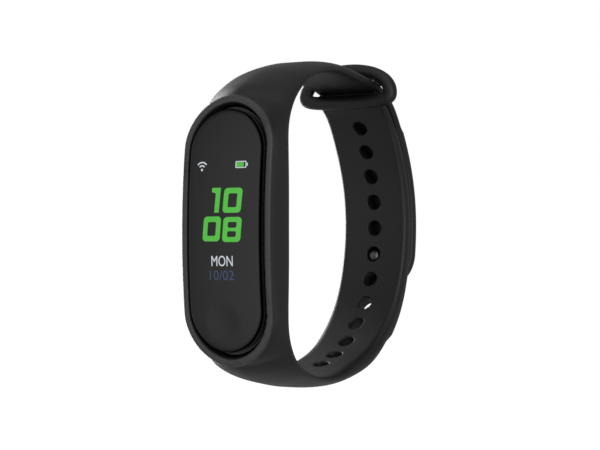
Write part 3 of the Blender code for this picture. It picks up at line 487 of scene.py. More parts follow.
class SideLine:
    # a line in the side view, (depth, z), read by its length from the middle of the cradle
    def __init__(self, points, outward):
        self.line = naturalSpline(points, 900)
        self.gone = np.r_[0.0, np.cumsum(np.hypot(*np.diff(self.line, axis=0).T))]
        self.length = self.gone[-1]
        self.outward = outward

    def point(self, s):
        return np.array([np.interp(s, self.gone, self.line[:, k]) for k in (0, 1)])

    def along(self, s):
        chord = self.point(min(s + 0.4 * mm, self.length)) - self.point(max(s - 0.4 * mm, 0.0))
        return chord / np.hypot(*chord)

    def out(self, s):
        # the unit normal that points away from the wrist
        along = self.along(s)
        return self.outward * np.array([-along[1], along[0]])

    def off(self, s, distance):
        return self.point(s) + distance * self.out(s)


def inSpace(x, sidePoint):
    return Vector((x, face["rimY"] + sidePoint[0], sidePoint[1]))


def shaped(shares, height):
    span = loop["farDepth"] - loop["cradleDepth"]
    return [(loop["cradleDepth"] + a * span, b * height) for a, b in shares]


strap = dict(
    cradleHalfWidth=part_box("band_cradle")[1].x,
    halfWidth=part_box("tail_strap")[1].x,
    crown=0.2 * mm,  # the outer side's rise from edge to middle
    edgeHeight=1.4 * mm,  # where the straps are widest, above their inner side
    innerRound=(1.0 * mm, 2.4 * mm),  # of the inner edges, on the straps and where they leave the cradle
    shoulder=(1.5, 2.2),  # of the superellipse that rounds the outer edges, by the cradle and beyond
    lip=0.4 * mm,
    edgeShare=0.45,  # the most that the edge height is of the thickness
    domedShare=0.18,  # how much less of it where the strap is domed
    flatBorder=1.9 * mm,  # from the side to the flat of the outer side
    cradleBorder=0.5 * mm,
    leastBorder=0.25 * mm,
    # where along the line each change runs
    taper=(9.0 * mm, 62.0 * mm),  # the width goes down
    doming=(16 * mm, 22 * mm),
    flattening=(32 * mm, 60 * mm),
    flatting=(26 * mm, 62 * mm),  # the outer flat widens
    crowning=(34 * mm, 60 * mm),
    rounding=(20 * mm, 32 * mm),  # the inner edges get rounder
    sharpening=(45 * mm, 80 * mm),
    # (length from the middle of the cradle, thickness), in millimetres
    lower=(
        (0, 7.4), (4, 7.4), (8, 7.2), (12, 6.85), (16, 6.5), (18, 6.5), (20, 6.75), (22, 6.7),
        (24, 5.6), (26, 4.4), (29, 3.3), (32, 2.65), (35, 2.4), (40, 2.45), (45, 2.75), (50, 3.1),
        (60, 3.35), (70, 3.3), (84, 2.9), (100, 2.65), (110, 2.2), (117, 1.8),
    ),
    upper=(
        (0, 7.4), (4, 7.35), (8, 7.2), (12, 6.9), (16, 6.5), (18, 6.35), (20, 6.45), (22, 6.6),
        (24, 6.0), (26, 5.0), (29, 3.85), (32, 3.15), (35, 2.7), (40, 2.5), (45, 2.5), (50, 2.4),
        (60, 2.1), (70, 2.0), (90, 2.0), (113, 2.0),
    ),
)
ring = dict(
    depth=45.5 * mm,
    z=28.6 * mm,
    halfWidth=10.1 * mm,  # of the bar's centre line
    rise=5.2 * mm,  # from the widest place to the outer bar
    drop=1.5 * mm,  # and to the inner bar
    bar=1.4 * mm,
    lean=math.radians(8.0),
    upperPower=2.1,  # of the superellipse through the outer bar
    lowerPower=3.2,  # and through the flatter inner bar
    over=(0.25, 0.97),  # the way from the inner bar's middle to where the strap crosses it
    overGaps=1.5,  # how many gaps it stays clear of the bar
)
band = dict(
    opening=(17.4 * mm, 48.3 * mm),
    pocket=(17.0 * mm, 47.0 * mm),
    ledge=(14.6 * mm, 42.0 * mm),
    ledgeDepth=6.0 * mm,
    rimLength=50.9 * mm,
    rimBorder=0.8 * mm,  # how far the rim's body narrows behind its lip
    rimStop=0.6 * mm,  # how far it stops short of the wrist side
    rimLap=0.6 * mm,  # how far it reaches into the pocket before that is cut
    mouth=(1.2 * mm, 6 * mm),  # how far the cutter flares in front of the face, and stands out
    mouthDepths=(0.05 * mm, 1.5 * mm),  # where the opening starts and where it has come down to the pocket
    through=20 * mm,
    pastRing=0.4 * mm,
    spacing=0.6 * mm,
    voxel=0.21 * mm,
    smoothing=3,
    triangles=195000,
    tailLap=1.0 * mm,  # how far the tail's skin starts before the band's ends
)
holes = dict(
    count=12,
    radius=1.57 * mm,
    pitch=5.5 * mm,
    fromRing=6.1 * mm,
    held=6,  # the stud's, counted from the ring
    reach=5 * mm,  # how far the cutter stands out on either side
)
tail = dict(
    hingePastRing=6.2 * mm,
    tipZ=-11.2 * mm,
    tip=7.4 * mm,  # how long the rounding of the tip is
    tipPower=2.2,
    tipThinning=0.7 * mm,
    tipThickness=0.55,  # of the strap's, at the very end
    skin=0.03 * mm,  # how far it stands out from the moulding that it overlaps
    blend=2.5 * mm,  # how far either side of the hinge the end points are set
    spacing=0.5 * mm,
    # the line outside the holed strap: where its points start and end, and how far apart they are
    backFromRing=2.6 * mm,
    pastTip=4 * mm,
    pointEvery=6 * mm,
)

lowerLine = SideLine(shaped(loop["lower"], -loop["bottom"]), outward=-1.0)


def thicknessOf(table):
    knots = np.array(table) * mm
    line = naturalSpline(knots, 600)
    return lambda s: float(np.interp(s, line[:, 0], line[:, 1]))


lowerThickness = thicknessOf(strap["lower"])
upperThickness = thicknessOf(strap["upper"])


def ringPoint(share):
    # the ring's middle plane in the side view, from its inner bar (-1) to its outer bar (1)
    rise = share * (ring["rise"] if share > 0 else ring["drop"])
    depth = ring["depth"] + rise * math.sin(ring["lean"])
    return np.array([depth, ring["z"] + rise * math.cos(ring["lean"])])


def upperPoints():
    # over the top, across the ring's inner bar, then down outside the holed strap
    points = shaped(loop["upper"], loop["top"])
    overBar = ringPoint(-1.0) + np.array(ring["over"]) * (ring["bar"] + ring["overGaps"] * loop["gap"])
    points.append(tuple(overBar))
    s = lowerLine.length - tail["backFromRing"]
    while lowerLine.point(s)[1] > tail["tipZ"] - tail["pastTip"]:
        points.append(tuple(lowerLine.off(s, lowerThickness(s) + loop["gap"])))
        s -= tail["pointEvery"]
    return points


upperLine = SideLine(upperPoints(), outward=1.0)
ringAt = float(upperLine.gone[np.hypot(*(upperLine.line - ringPoint(-1.0)).T).argmin()])
hingeAt = ringAt + tail["hingePastRing"]
pastHinge = upperLine.gone > hingeAt
tipAt = float(upperLine.gone[pastHinge][np.abs(upperLine.line[pastHinge, 1] - tail["tipZ"]).argmin()])
firstHoleAt = lowerLine.length - holes["fromRing"]
studAt = firstHoleAt - (holes["held"] - 1) * holes["pitch"]


def halfWidth(s):
    wide, narrow = strap["cradleHalfWidth"], strap["halfWidth"]
    return wide + (narrow - wide) * bell(s, *strap["taper"])


def strapSection(line, s, width, thickness, extra=0.0):
    # (x, rise) round a strap: flat inside, domed where it leaves the cradle, flatter further on
    wide, thick = width(s) + extra, thickness(s)
    domed = bell(s, *strap["doming"]) - bell(s, *strap["flattening"])
    edge = min(strap["edgeHeight"], (strap["edgeShare"] - strap["domedShare"] * domed) * thick)
    top = line.off(s, thick)[1]
    flatStrap = (wide - strap["flatBorder"]) * bell(s, *strap["flatting"])
    border = strap["cradleBorder"]
    flatCradle = ovalHalfWidth(top, 2 * strap["cradleHalfWidth"] - border, band["rimLength"] - border)
    flat = min(max(flatStrap, flatCradle), wide - strap["leastBorder"])
    crown = strap["crown"] * bell(s, *strap["crowning"])
    small, large = strap["innerRound"]
    inner = small + (large - small) * (bell(s, *strap["rounding"]) - bell(s, *strap["sharpening"]))
    inner = min(inner, 0.3 * wide)
    points = []
    for turn in np.linspace(0.0, math.pi / 2, 9):
        points.append((wide - inner * (1 - math.sin(turn)), edge * (1 - math.cos(turn))))
    tent, full = strap["shoulder"]
    power = 2 / (full + (tent - full) * domed)
    for turn in np.linspace(0.0, math.pi / 2, 15)[1:]:
        x = flat + (wide - flat) * math.cos(turn) ** power
        points.append((x, edge + (thick - edge) * abs(math.sin(turn)) ** power))
    half = len(points)
    points += [(share * flat, thick) for share in np.linspace(1, -1, 18)[1:-1]]
    points += [(-x, rise) for x, rise in reversed(points[:half])]
    points += [(share * (wide - inner), 0.0) for share in np.linspace(-1, 1, 18)[1:-1]]
    points = [(x, rise - crown * (x / wide) ** 2 * rise / thick) for x, rise in points]
    return [(x, -extra + rise * (1 + 2 * extra / thick)) for x, rise in points]


def strapRings(line, stations, width, thickness, extra=0.0):
    rings = []
    for s in stations:
        section = strapSection(line, s, width, thickness, extra)
        rings.append([inSpace(x, line.off(s, rise)) for x, rise in section])
    return rings


# ---- the band: one moulding of cradle, holed strap, keeper ring and the plain strap's root

print("band: cradle, straps and keeper ring")

def buildLoop():
    # from the ring's end of the holed strap, through the cradle, to just past the ring
    down = steps(lowerLine.length, 0.0, band["spacing"])[:-1]
    up = steps(0.0, ringAt + band["pastRing"], band["spacing"])
    rings = strapRings(lowerLine, down, halfWidth, lowerThickness)
    rings += strapRings(upperLine, up, halfWidth, upperThickness)
    return skinOf("loop", rings)


def buildRim():
    wide, long, lip = 2 * strap["cradleHalfWidth"], band["rimLength"], strap["lip"]
    back = loop["cradleDepth"] - band["rimStop"]
    border = band["rimBorder"]
    inWide, inLong = (size - band["rimLap"] for size in band["pocket"])
    levels = [(wide - border, long - border, back, 0.0), (wide, long, 2 * lip, 1.0)]
    for turn in np.radians(np.linspace(0, 90, 7)):
        inset = 2 * lip * (1 - math.cos(turn))
        levels.append((wide - inset, long - inset, lip * (1 - math.sin(turn)), 1.0))
    levels += [(inWide, inLong, 0.0, 1.0), (inWide, inLong, back, 0.0)]
    return skinOf("rim", ovalRings(levels), closed=True)


def pocketCutter():
    wide, long = band["opening"]
    pocketWide, pocketLong = band["pocket"]
    flare, front = band["mouth"]
    mouthFront, mouthBack = band["mouthDepths"]
    levels = (
        (wide + flare, long + flare, -front, 0.0),
        (wide, long, mouthFront, 1.0),
        (pocketWide, pocketLong, mouthBack, 1.0),
        (pocketWide, pocketLong, band["ledgeDepth"], 0.0),
    )
    return skinOf("pocket", ovalRings(levels))


def ledgeCutter():
    size = band["ledge"]
    levels = ((*size, band["ledgeDepth"] - 1 * mm, 0.0), (*size, band["through"], 0.0))
    return skinOf("ledge", ovalRings(levels))


def discRings(profile, place, around):
    # rings about Z from (radius, height), put in place
    turns = [math.tau * k / around for k in range(around)]
    rings = []
    for radius, height in profile:
        rings.append([place @ Vector((radius * math.cos(a), radius * math.sin(a), height)) for a in turns])
    return rings


def outwardFrame(line, s, point):
    # an origin at the point with +Z away from the wrist
    out = line.out(s)
    turn = Vector((0.0, out[0], out[1])).to_track_quat("Z", "X").to_matrix().to_4x4()
    return Matrix.Translation(inSpace(0.0, point)) @ turn


def holeCutter(k):
    s = firstHoleAt - k * holes["pitch"]
    place = outwardFrame(lowerLine, s, lowerLine.point(s))
    profile = ((holes["radius"], -holes["reach"]), (holes["radius"], holes["reach"]))
    return skinOf("hole", discRings(profile, place, 48))


def keeperRings(bar, around=160, sides=28):
    lean = ring["lean"]
    across = np.array([1.0, 0.0, 0.0])
    up = np.array([0.0, math.sin(lean), math.cos(lean)])
    through = np.cross(across, up)
    centre = np.array(inSpace(0.0, (ring["depth"], ring["z"])))

    def onLine(angle):
        c, s = math.cos(angle), math.sin(angle)
        power = 2 / (ring["upperPower"] if s > 0 else ring["lowerPower"])
        reach = ring["rise"] if s > 0 else ring["drop"]
        x = ring["halfWidth"] * signedPower(c, power)
        return centre + x * across + reach * signedPower(s, power) * up

    rings = []
    for k in range(around):
        angle = math.tau * (k + 0.5) / around
        along = onLine(angle + 0.02) - onLine(angle - 0.02)
        along /= np.linalg.norm(along)
        outward = np.cross(along, through)
        turns = np.linspace(0.0, math.tau, sides, endpoint=False)
        middle = onLine(angle)
        rings.append([middle + bar * (math.cos(a) * outward + math.sin(a) * through) for a in turns])
    return rings


def buildBand():
    body = combined(buildLoop(), pocketCutter())
    body = combined(body, ledgeCutter())
    for k in range(holes["count"]):
        body = combined(body, holeCutter(k))
    rim = combined(buildRim(), pocketCutter())
    keeper = skinOf("keeper", keeperRings(ring["bar"]), closed=True)
    whole = joined("bandMoulding", [body, rim, keeper])
    return moulded(whole, band["voxel"], band["smoothing"], band["triangles"])


siliconeFinish = makeSilicone("fineSilicone")
bandNodes = ("band_cradle", "lower_strap", "keeper_ring", "upper_strap")
finished(buildBand(), siliconeFinish, "band", "silicone", *bandNodes)


# ---- the tail: the plain strap's free end, outside the holed strap, and its stud

print("tail and stud")

stud = dict(
    stem=0.85 * mm,
    head=1.12 * mm,
    headHeight=1.0 * mm,
    cap=2.6 * mm,
    capHeight=0.5 * mm,
    drop=0.28 * mm,  # how far it sits below its hole's centre
    slack=0.1 * mm,
    boreReach=6 * mm,
    reach=0.15 * mm,  # how far the head comes through past the holed strap
    edge=0.22 * mm,
    dome=0.05 * mm,
    centre=0.02 * mm,  # radius of the flat in the very middle
)


def tailWidth(s):
    left = tipAt - s
    if left >= tail["tip"]:
        return halfWidth(s)
    share = 1 - max(left, 0.0) / tail["tip"]
    return halfWidth(s) * max(1 - share ** tail["tipPower"], 0.0) ** (1 / tail["tipPower"])


def tailThickness(s):
    # the last of the tip rounds off
    left = max(tipAt - s, 0.0) / tail["tipThinning"]
    if left >= 1:
        return upperThickness(s)
    least = tail["tipThickness"]
    return upperThickness(s) * (least + (1 - least) * math.sqrt(1 - (1 - left) ** 2))


def studPlace():
    along = lowerLine.along(studAt)
    seat = lowerLine.off(studAt, lowerThickness(studAt) + loop["gap"]) - along * stud["drop"]
    return outwardFrame(lowerLine, studAt, seat)


def buildTail():
    straight = steps(ringAt - band["tailLap"], tipAt - tail["tip"], tail["spacing"])
    turns = np.radians(np.linspace(4, 88.5, 30))
    tip = tipAt - tail["tip"] * (1 - np.sin(turns))
    rings = strapRings(upperLine, np.r_[straight, tip], tailWidth, tailThickness, tail["skin"])
    piece = skinOf("tailStrap", rings)
    seat, reach = stud["stem"] + stud["slack"], stud["boreReach"]
    bore = skinOf("bore", discRings(((seat, -reach), (seat, reach)), studPlace(), 40))
    return combined(piece, bore)


def corner(centre, radius, start, end, count=6):
    # points of (radius, height) round a corner, turning from start to end in degrees
    turns = np.radians(np.linspace(start, end, count))
    return [(centre[0] + radius * math.cos(a), centre[1] + radius * math.sin(a)) for a in turns]


def buildStud():
    headEnd = -(lowerThickness(studAt) + loop["gap"] + stud["reach"])
    seat = upperThickness(hingeAt) + stud["slack"]
    edge = stud["edge"]
    top = seat + stud["capHeight"]
    profile = [(stud["centre"], top)]
    profile += corner((stud["cap"] - edge, top - edge - stud["dome"]), edge, 88, -90)
    profile += [(stud["cap"] - edge, seat), (stud["stem"], seat)]
    profile.append((stud["stem"], headEnd + stud["headHeight"]))
    profile += corner((stud["head"] - edge, headEnd + 0.55 * stud["headHeight"]), edge, 60, -45)
    profile += corner((0.45 * stud["head"], headEnd + edge), edge, -10, -88)
    profile.append((stud["centre"], headEnd))
    return skinOf("turnedStud", discRings(profile, studPlace(), 72))


def addTail():
    piece = finished(buildTail(), siliconeFinish, None, "silicone", "tail_strap", sharp=50)
    along = upperLine.along(hingeAt)
    middle = upperLine.off(hingeAt, upperThickness(hingeAt) / 2)
    ends = [inSpace(0.0, middle + side * tail["blend"] * along) for side in (-1, 1)]
    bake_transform(piece)


addTail()
darkMetal = makeMetal("darkSteel", (0.1, 0.1, 0.105), 0.4)
finished(buildStud(), darkMetal, "tail", "stud", "clasp_stud", sharp=35)


# ---- the capsule: cover glass, tray, sensor window and charging contacts

print("capsule shell")

capsule = dict(
    glass=(16.0 * mm, 45.6 * mm),
    glassEdge=-0.44 * mm,  # depth of the glass's edge behind the rim's plane
    glassBack=0.45 * mm,
    crown=0.55 * mm,  # how far the glass's middle stands out from its sides
    edgeBand=1.1 * mm,  # the border that curves down all round
    edgeDrop=0.3 * mm,
    tray=(16.4 * mm, 46.4 * mm),
    trayFront=1.45 * mm,
    shoulder=5.7 * mm,
    boss=(14.0 * mm, 41.4 * mm),
    bossDepth=11.0 * mm,
    wall=0.8 * mm,
    backEdge=0.9 * mm,  # round edge of the back
    shoulderEdge=0.2 * mm,
    bore=3 * mm,  # how far a bore reaches either side of the surface
)
dimple = dict(x=-0.4 * mm, z=-17.1 * mm, radius=4.1 * mm, depth=0.34 * mm)


def glassDepth(x, z):
    # the front of the glass: crowned across, bowed along, with a shallow dish to touch
    wide, long = capsule["glass"]
    half = ovalHalfWidth(z, wide, long)
    crown = capsule["crown"] * max(half**2 - x**2, 0.0) / (wide / 2) ** 2
    depth = capsule["glassEdge"] + sagAt(z) - crown
    away = math.hypot(x - dimple["x"], z - dimple["z"]) / dimple["radius"]
    if away < 1:
        depth += dimple["depth"] * (1 - away**2) ** 1.5
    return depth


def onGlass(x, z, lift=0.0):
    return (x, face["rimY"] + glassDepth(x, z) - lift, z)


def buildGlass():
    wide, long = capsule["glass"]
    outline = ovalOutline(wide, long, ends=120, sides=110)
    straight = long / 2 - wide / 2
    front = []
    for share in np.r_[1.0, 0.995, 0.98, 0.96, 0.93, np.linspace(0.9, 0.0, 26)]:
        inset = (1 - share) * wide / 2
        curl = max(0.0, 1 - inset / capsule["edgeBand"])
        drop = capsule["edgeDrop"] * (1 - math.sqrt(1 - curl**2))
        level = []
        for x, z in outline:
            middle = min(max(z, -straight), straight)
            level.append(onGlass(x * share, middle + (z - middle) * share, -drop))
        front.append(level)
    edge = [(x, face["rimY"] + capsule["glassBack"] + sagAt(z) - 0.1 * mm, z) for x, z in outline]
    back = []
    for share in (0.985, 0.6, 0.0):
        level = []
        for x, z in outline:
            middle = min(max(z, -straight), straight)
            away = middle + (z - middle) * share
            level.append((x * share, face["rimY"] + capsule["glassBack"] + sagAt(away), away))
        back.append(level)
    return skinOfBowl("coverGlass", front[::-1] + [edge] + back)


def skinOfBowl(name, rings):
    # a skin whose first and last rings have closed up to a line, so it needs no caps
    count, around = len(rings), len(rings[0])
    faces = []
    for k in range(count - 1):
        for i in range(around):
            j = (i + 1) % around
            faces.append((k * around + i, k * around + j, (k + 1) * around + j, (k + 1) * around + i))
    return meshFrom(name, np.concatenate([np.array(ring) for ring in rings]), faces)


def shrunk(size, inset):
    return size[0] - 2 * inset, size[1] - 2 * inset


def buildTray():
    wall, depth = capsule["wall"], capsule["bossDepth"]
    edge, small = capsule["backEdge"], capsule["shoulderEdge"]
    levels = []
    for turn in np.radians(np.linspace(88, 0, 8)):
        inset = edge * (1 - math.cos(turn))
        levels.append((*shrunk(capsule["boss"], inset), depth - edge * (1 - math.sin(turn)), 0.0))
    levels.append((*capsule["boss"], capsule["shoulder"], 0.0))
    levels.append((*shrunk(capsule["tray"], small), capsule["shoulder"], 0.0))
    levels.append((*capsule["tray"], capsule["shoulder"] - small, 0.0))
    levels.append((*capsule["tray"], capsule["trayFront"], 1.0))
    inner = shrunk(capsule["tray"], wall)
    cavity = shrunk(capsule["boss"], wall)
    levels.append((*inner, capsule["trayFront"], 1.0))
    levels.append((*inner, capsule["shoulder"] - wall, 0.0))
    levels.append((*cavity, capsule["shoulder"] - wall, 0.0))
    levels.append((*cavity, depth - wall, 0.0))
    return skinOf("tray", ovalRings(levels))


def discBehind(name, node, profile, around=72):
    # a turned disc with its axis along the depth, centred on a CAD node; heights run to the wrist
    low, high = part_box(node)
    place = Matrix.Translation(((low.x + high.x) / 2, high.y, (low.z + high.z) / 2))
    place = place @ Matrix.Rotation(-math.pi / 2, 4, "X")
    return skinOf(name, discRings(profile, place, around))


def nodeRadius(node):
    low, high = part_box(node)
    return (high.x - low.x) / 2


def nodeDepth(node):
    low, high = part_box(node)
    return high.y - low.y


def borePocket(piece, node, slack):
    radius = nodeRadius(node) + slack
    profile = ((radius, -capsule["bore"]), (radius, capsule["bore"]))
    return combined(piece, discBehind("bore", node, profile, 64))


def buildButton(name, node, edge, dome=0.0):
    # a disc with a rounded outer edge and a slightly domed face
    radius, deep = nodeRadius(node), nodeDepth(node)
    profile = [(0.01 * mm, -deep), (radius, -deep)]
    profile += corner((radius - edge, -edge - dome), edge, 0, 80)
    profile += [(radius * share, -dome * share**2) for share in (0.7, 0.45, 0.2)]
    profile.append((0.01 * mm, 0.0))
    return discBehind(name, node, profile)


contactNodes = ("contact_positive", "contact_negative")
trayPiece = buildTray()
for node in ("sensor_window", *contactNodes):
    trayPiece = borePocket(trayPiece, node, 0.1 * mm)
blackShell = makePlastic("blackShell", (0.004, 0.004, 0.0045), 0.36)
finished(trayPiece, blackShell, "tracker", "housing", "lower_housing", sharp=35)
glassFinish = makeGlass("blackGlass")
finished(buildGlass(), glassFinish, "tracker", "lens", "front_lens", sharp=60)
windowFinish = makeGlass("darkWindow")
windowPiece = buildButton("sensorWindow", "sensor_window", 0.12 * mm, 0.06 * mm)
finished(windowPiece, windowFinish, "tracker", "window", "sensor_window", sharp=40)
goldFinish = makeMetal("goldPlate", (0.83, 0.6, 0.27), 0.22)
for node, title in zip(contactNodes, ("contactPlus", "contactMinus")):
    piece = buildButton(title, node, 0.15 * mm, 0.05 * mm)
    finished(piece, goldFinish, "tracker", "gold", node, sharp=40)


# ---- what the display shows: a clock face of lit shapes, just proud of the glass

print("display")

# places are in millimetres across and up the face
clock = dict(
    lean=0.085,  # how far the digits slant to the right for each height
    hours=((-0.95, 5.6), (2.35, 5.55)),  # the digits' middles
    minutes=((-2.22, 0.28), (2.28, 0.15)),
    digit=(3.95, 4.62),
    stroke=1.02,
    corner=0.75,
    hollow=0.3,  # corner of the openings in the digits
    bar=0.62,  # thickness of the eight's middle bar, as a share of the stroke
    flag=(0.95, 0.75, 1.05),  # how far the one's flag reaches out, and how high its end and root are
)
words = dict(
    day=("MON", (0.03, -5.68), (4.75, 1.95)),
    date=("10/02", (-0.07, -8.33), (5.4, 1.8)),
)
battery = dict(
    place=(3.9, 12.15),
    size=(2.3, 1.3),
    line=0.17,
    level=0.82,
    nub=(0.24, 0.56),
    nubGap=0.05,
    corners=(0.2, 0.1, 0.06, 0.08),  # of the case outside and inside, the charge and the nub
)
signal = dict(
    place=(-4.85, 11.95),
    drop=0.6,  # how far below it the dot is
    dot=0.24,
    arcs=(0.78, 1.4),
    line=0.26,
    half=math.radians(48),
)
glow = dict(
    lift=0.012 * mm,
    thick=0.03 * mm,
    spacing=0.2 * mm,
    borders=(1.2 * mm, 6.8 * mm),  # from the glass's sides and ends to the sheet that is lit
)


def roundedBox(middle, size, radius, lean=0.0, count=8):
    # an outline round a rectangle with round corners, slanted by lean
    halfX, halfZ = size[0] / 2 - radius, size[1] / 2 - radius
    outline = []
    for sideX, sideZ, start in ((1, 1, 0), (-1, 1, 90), (-1, -1, 180), (1, -1, 270)):
        for turn in np.radians(np.linspace(start, start + 90, count)):
            x = sideX * halfX + radius * math.cos(turn)
            z = sideZ * halfZ + radius * math.sin(turn)
            outline.append((middle[0] + x + lean * z, middle[1] + z))
    return outline


def zeroShape(middle, bars=0):
    # a blocky digit: an outer box with one opening, or with two on either side of a bar
    wide, high = clock["digit"]
    stroke, lean = clock["stroke"], clock["lean"]
    outlines = [roundedBox(middle, (wide, high), clock["corner"], lean)]
    openWide = wide - 2 * stroke
    openHigh = high - 2 * stroke
    if not bars:
        outlines.append(roundedBox(middle, (openWide, openHigh), clock["hollow"], lean))
        return outlines
    bar = clock["bar"] * stroke
    each = (openHigh - bar) / 2 + 0.1
    for side in (-1, 1):
        rise = side * (bar + each) / 2
        place = (middle[0] + lean * rise, middle[1] + rise)
        outlines.append(roundedBox(place, (openWide, each), clock["hollow"], lean))
    return outlines


def oneShape(middle):
    # an upright with a flag at its head
    half = clock["digit"][1] / 2
    stroke, lean = clock["stroke"], clock["lean"]
    right = middle[0] + stroke / 2
    left = right - stroke
    out, end, root = clock["flag"]
    corners = (
        (right, half), (left - out, half), (left - out, half - end), (left, half - root),
        (left, -half), (right, -half),
    )
    return [[(x + lean * z, middle[1] + z) for x, z in corners]]


def roundPoints(middle, radius, turns):
    return [(middle[0] + radius * math.cos(a), middle[1] + radius * math.sin(a)) for a in turns]


def arcShape(middle, radius, line, half):
    turns = np.linspace(math.pi / 2 - half, math.pi / 2 + half, 20)
    outer = roundPoints(middle, radius + line / 2, turns)
    return outer + roundPoints(middle, radius - line / 2, turns)[::-1]


def discShape(middle, radius, count=24):
    return roundPoints(middle, radius, [math.tau * k / count for k in range(count)])


def filled(curve):
    # a filled curve, in millimetres, as an upright prism through the front of the glass
    curve.fill_mode = "BOTH"
    curve.extrude = 1.0
    flat = addObject("shape", curve)
    flat.data.resolution_u = 4
    shape = flat.evaluated_get(bpy.context.evaluated_depsgraph_get())
    mesh = bpy.data.meshes.new_from_object(shape)
    bpy.data.objects.remove(flat)
    upright = Matrix.Rotation(math.pi / 2, 4, "X")
    middle = Matrix.Translation((0.0, face["rimY"] - 0.2 * mm, 0.0))
    mesh.transform(middle @ Matrix.Scale(mm, 4) @ upright)
    return addObject("prism", mesh)


def outlineCurve(outlines):
    curve = bpy.data.curves.new("outlines", "CURVE")
    curve.dimensions = "2D"
    for outline in outlines:
        spline = curve.splines.new("POLY")
        spline.points.add(len(outline) - 1)
        spline.use_cyclic_u = True
        for point, (x, z) in zip(spline.points, outline):
            point.co = (x, z, 0.0, 1.0)
    return curve


def wordPrism(text, middle, size):
    # plain lettering, stretched to its size
    curve = bpy.data.curves.new("word", "FONT")
    curve.body = text
    prism = filled(curve)
    corners = np.array([vert.co for vert in prism.data.vertices])
    low, high = corners.min(axis=0), corners.max(axis=0)
    shares = (corners - low) / (high - low) - 0.5
    for vert, share in zip(prism.data.vertices, shares):
        vert.co.x = (middle[0] + share[0] * size[0]) * mm
        vert.co.z = (middle[1] + share[2] * size[1]) * mm
    return prism


def glassSheet():
    # a thin closed sheet that follows the glass, which the lit shapes are cut from
    wide, long = capsule["glass"]
    sideBorder, endBorder = glow["borders"]
    columns = steps(-wide / 2 + sideBorder, wide / 2 - sideBorder, glow["spacing"])
    rows = steps(-long / 2 + endBorder, long / 2 - endBorder, glow["spacing"])
    rings = []
    for z in rows:
        front = [onGlass(x, z, glow["lift"] + glow["thick"]) for x in columns]
        back = [onGlass(x, z, glow["lift"]) for x in columns[::-1]]
        rings.append(front + back)
    return skinOf("sheet", rings)


def litPiece(name, prisms, finish):
    # the sheet where the shapes cover it
    piece = joined(name, prisms)
    sheet = glassSheet()
    piece.data.update()
    piece = combined(piece, sheet, "INTERSECT")
    return finished(piece, finish, "tracker", "display", sharp=50)


def addClock():
    digits = [oneShape(clock["hours"][0]), zeroShape(clock["hours"][1])]
    digits += [zeroShape(clock["minutes"][0]), zeroShape(clock["minutes"][1], bars=1)]
    greens = [filled(outlineCurve(outlines)) for outlines in digits]
    size, line = battery["size"], battery["line"]
    x, z = battery["place"]
    caseCorner, openCorner, chargeCorner, nubCorner = battery["corners"]
    inside, opening = shrunk(size, 1.3 * line), shrunk(size, line)
    charge = inside[0] * battery["level"]
    filling = roundedBox((x - (inside[0] - charge) / 2, z), (charge, inside[1]), chargeCorner)
    greens.append(filled(outlineCurve([filling])))
    litPiece("digits", greens, makeGlow("greenGlow", (0.075, 0.5, 0.045), 1.0))

    case = [roundedBox((x, z), size, caseCorner), roundedBox((x, z), opening, openCorner)]
    nubX = x + size[0] / 2 + battery["nub"][0] / 2 + battery["nubGap"]
    nub = [roundedBox((nubX, z), battery["nub"], nubCorner)]
    middle = signal["place"]
    foot = (middle[0], middle[1] - signal["drop"])
    waves = [discShape(foot, signal["dot"])]
    waves += [arcShape(foot, radius, signal["line"], signal["half"]) for radius in signal["arcs"]]
    whites = [filled(outlineCurve(outlines)) for outlines in (case, nub, waves)]
    whites.append(wordPrism(*words["day"]))
    litPiece("dayAndIcons", whites, makeGlow("whiteGlow", (0.62, 0.66, 0.7), 1.0))
    litPiece("date", [wordPrism(*words["date"])], makeGlow("dimBlueGlow", (0.03, 0.055, 0.12), 1.0))


addClock()


# ---- inside the capsule: the CAD pieces that keep their shape get their finishes

print("inside of the capsule")


def makeFoam(name):
    f = Finish(name, IOR=1.4)
    place = f.place()
    pores = f.cells(place, 0.12)
    shade = f.mixed(pores, (0.012, 0.012, 0.012), (0.05, 0.05, 0.05))
    return f.to(Base_Color=shade, Roughness=0.86 + pores * 0.1, Normal=f.bump(pores, 0.05))


def makeFilm(name, shade, edge):
    # laminated film over printed lines
    f = Finish(name, IOR=1.5)
    place = f.place()
    lines = f.noise(f.stretched(place, (1.0, 1.0, 0.1)), 0.35, 2.0).between(0.45, 0.55)
    colour = f.mixed(lines * 0.7, shade, edge)
    rough = 0.3 + f.noise(place, 0.8) * 0.2
    return f.to(Base_Color=colour, Roughness=rough, Normal=f.bump(lines, 0.01))


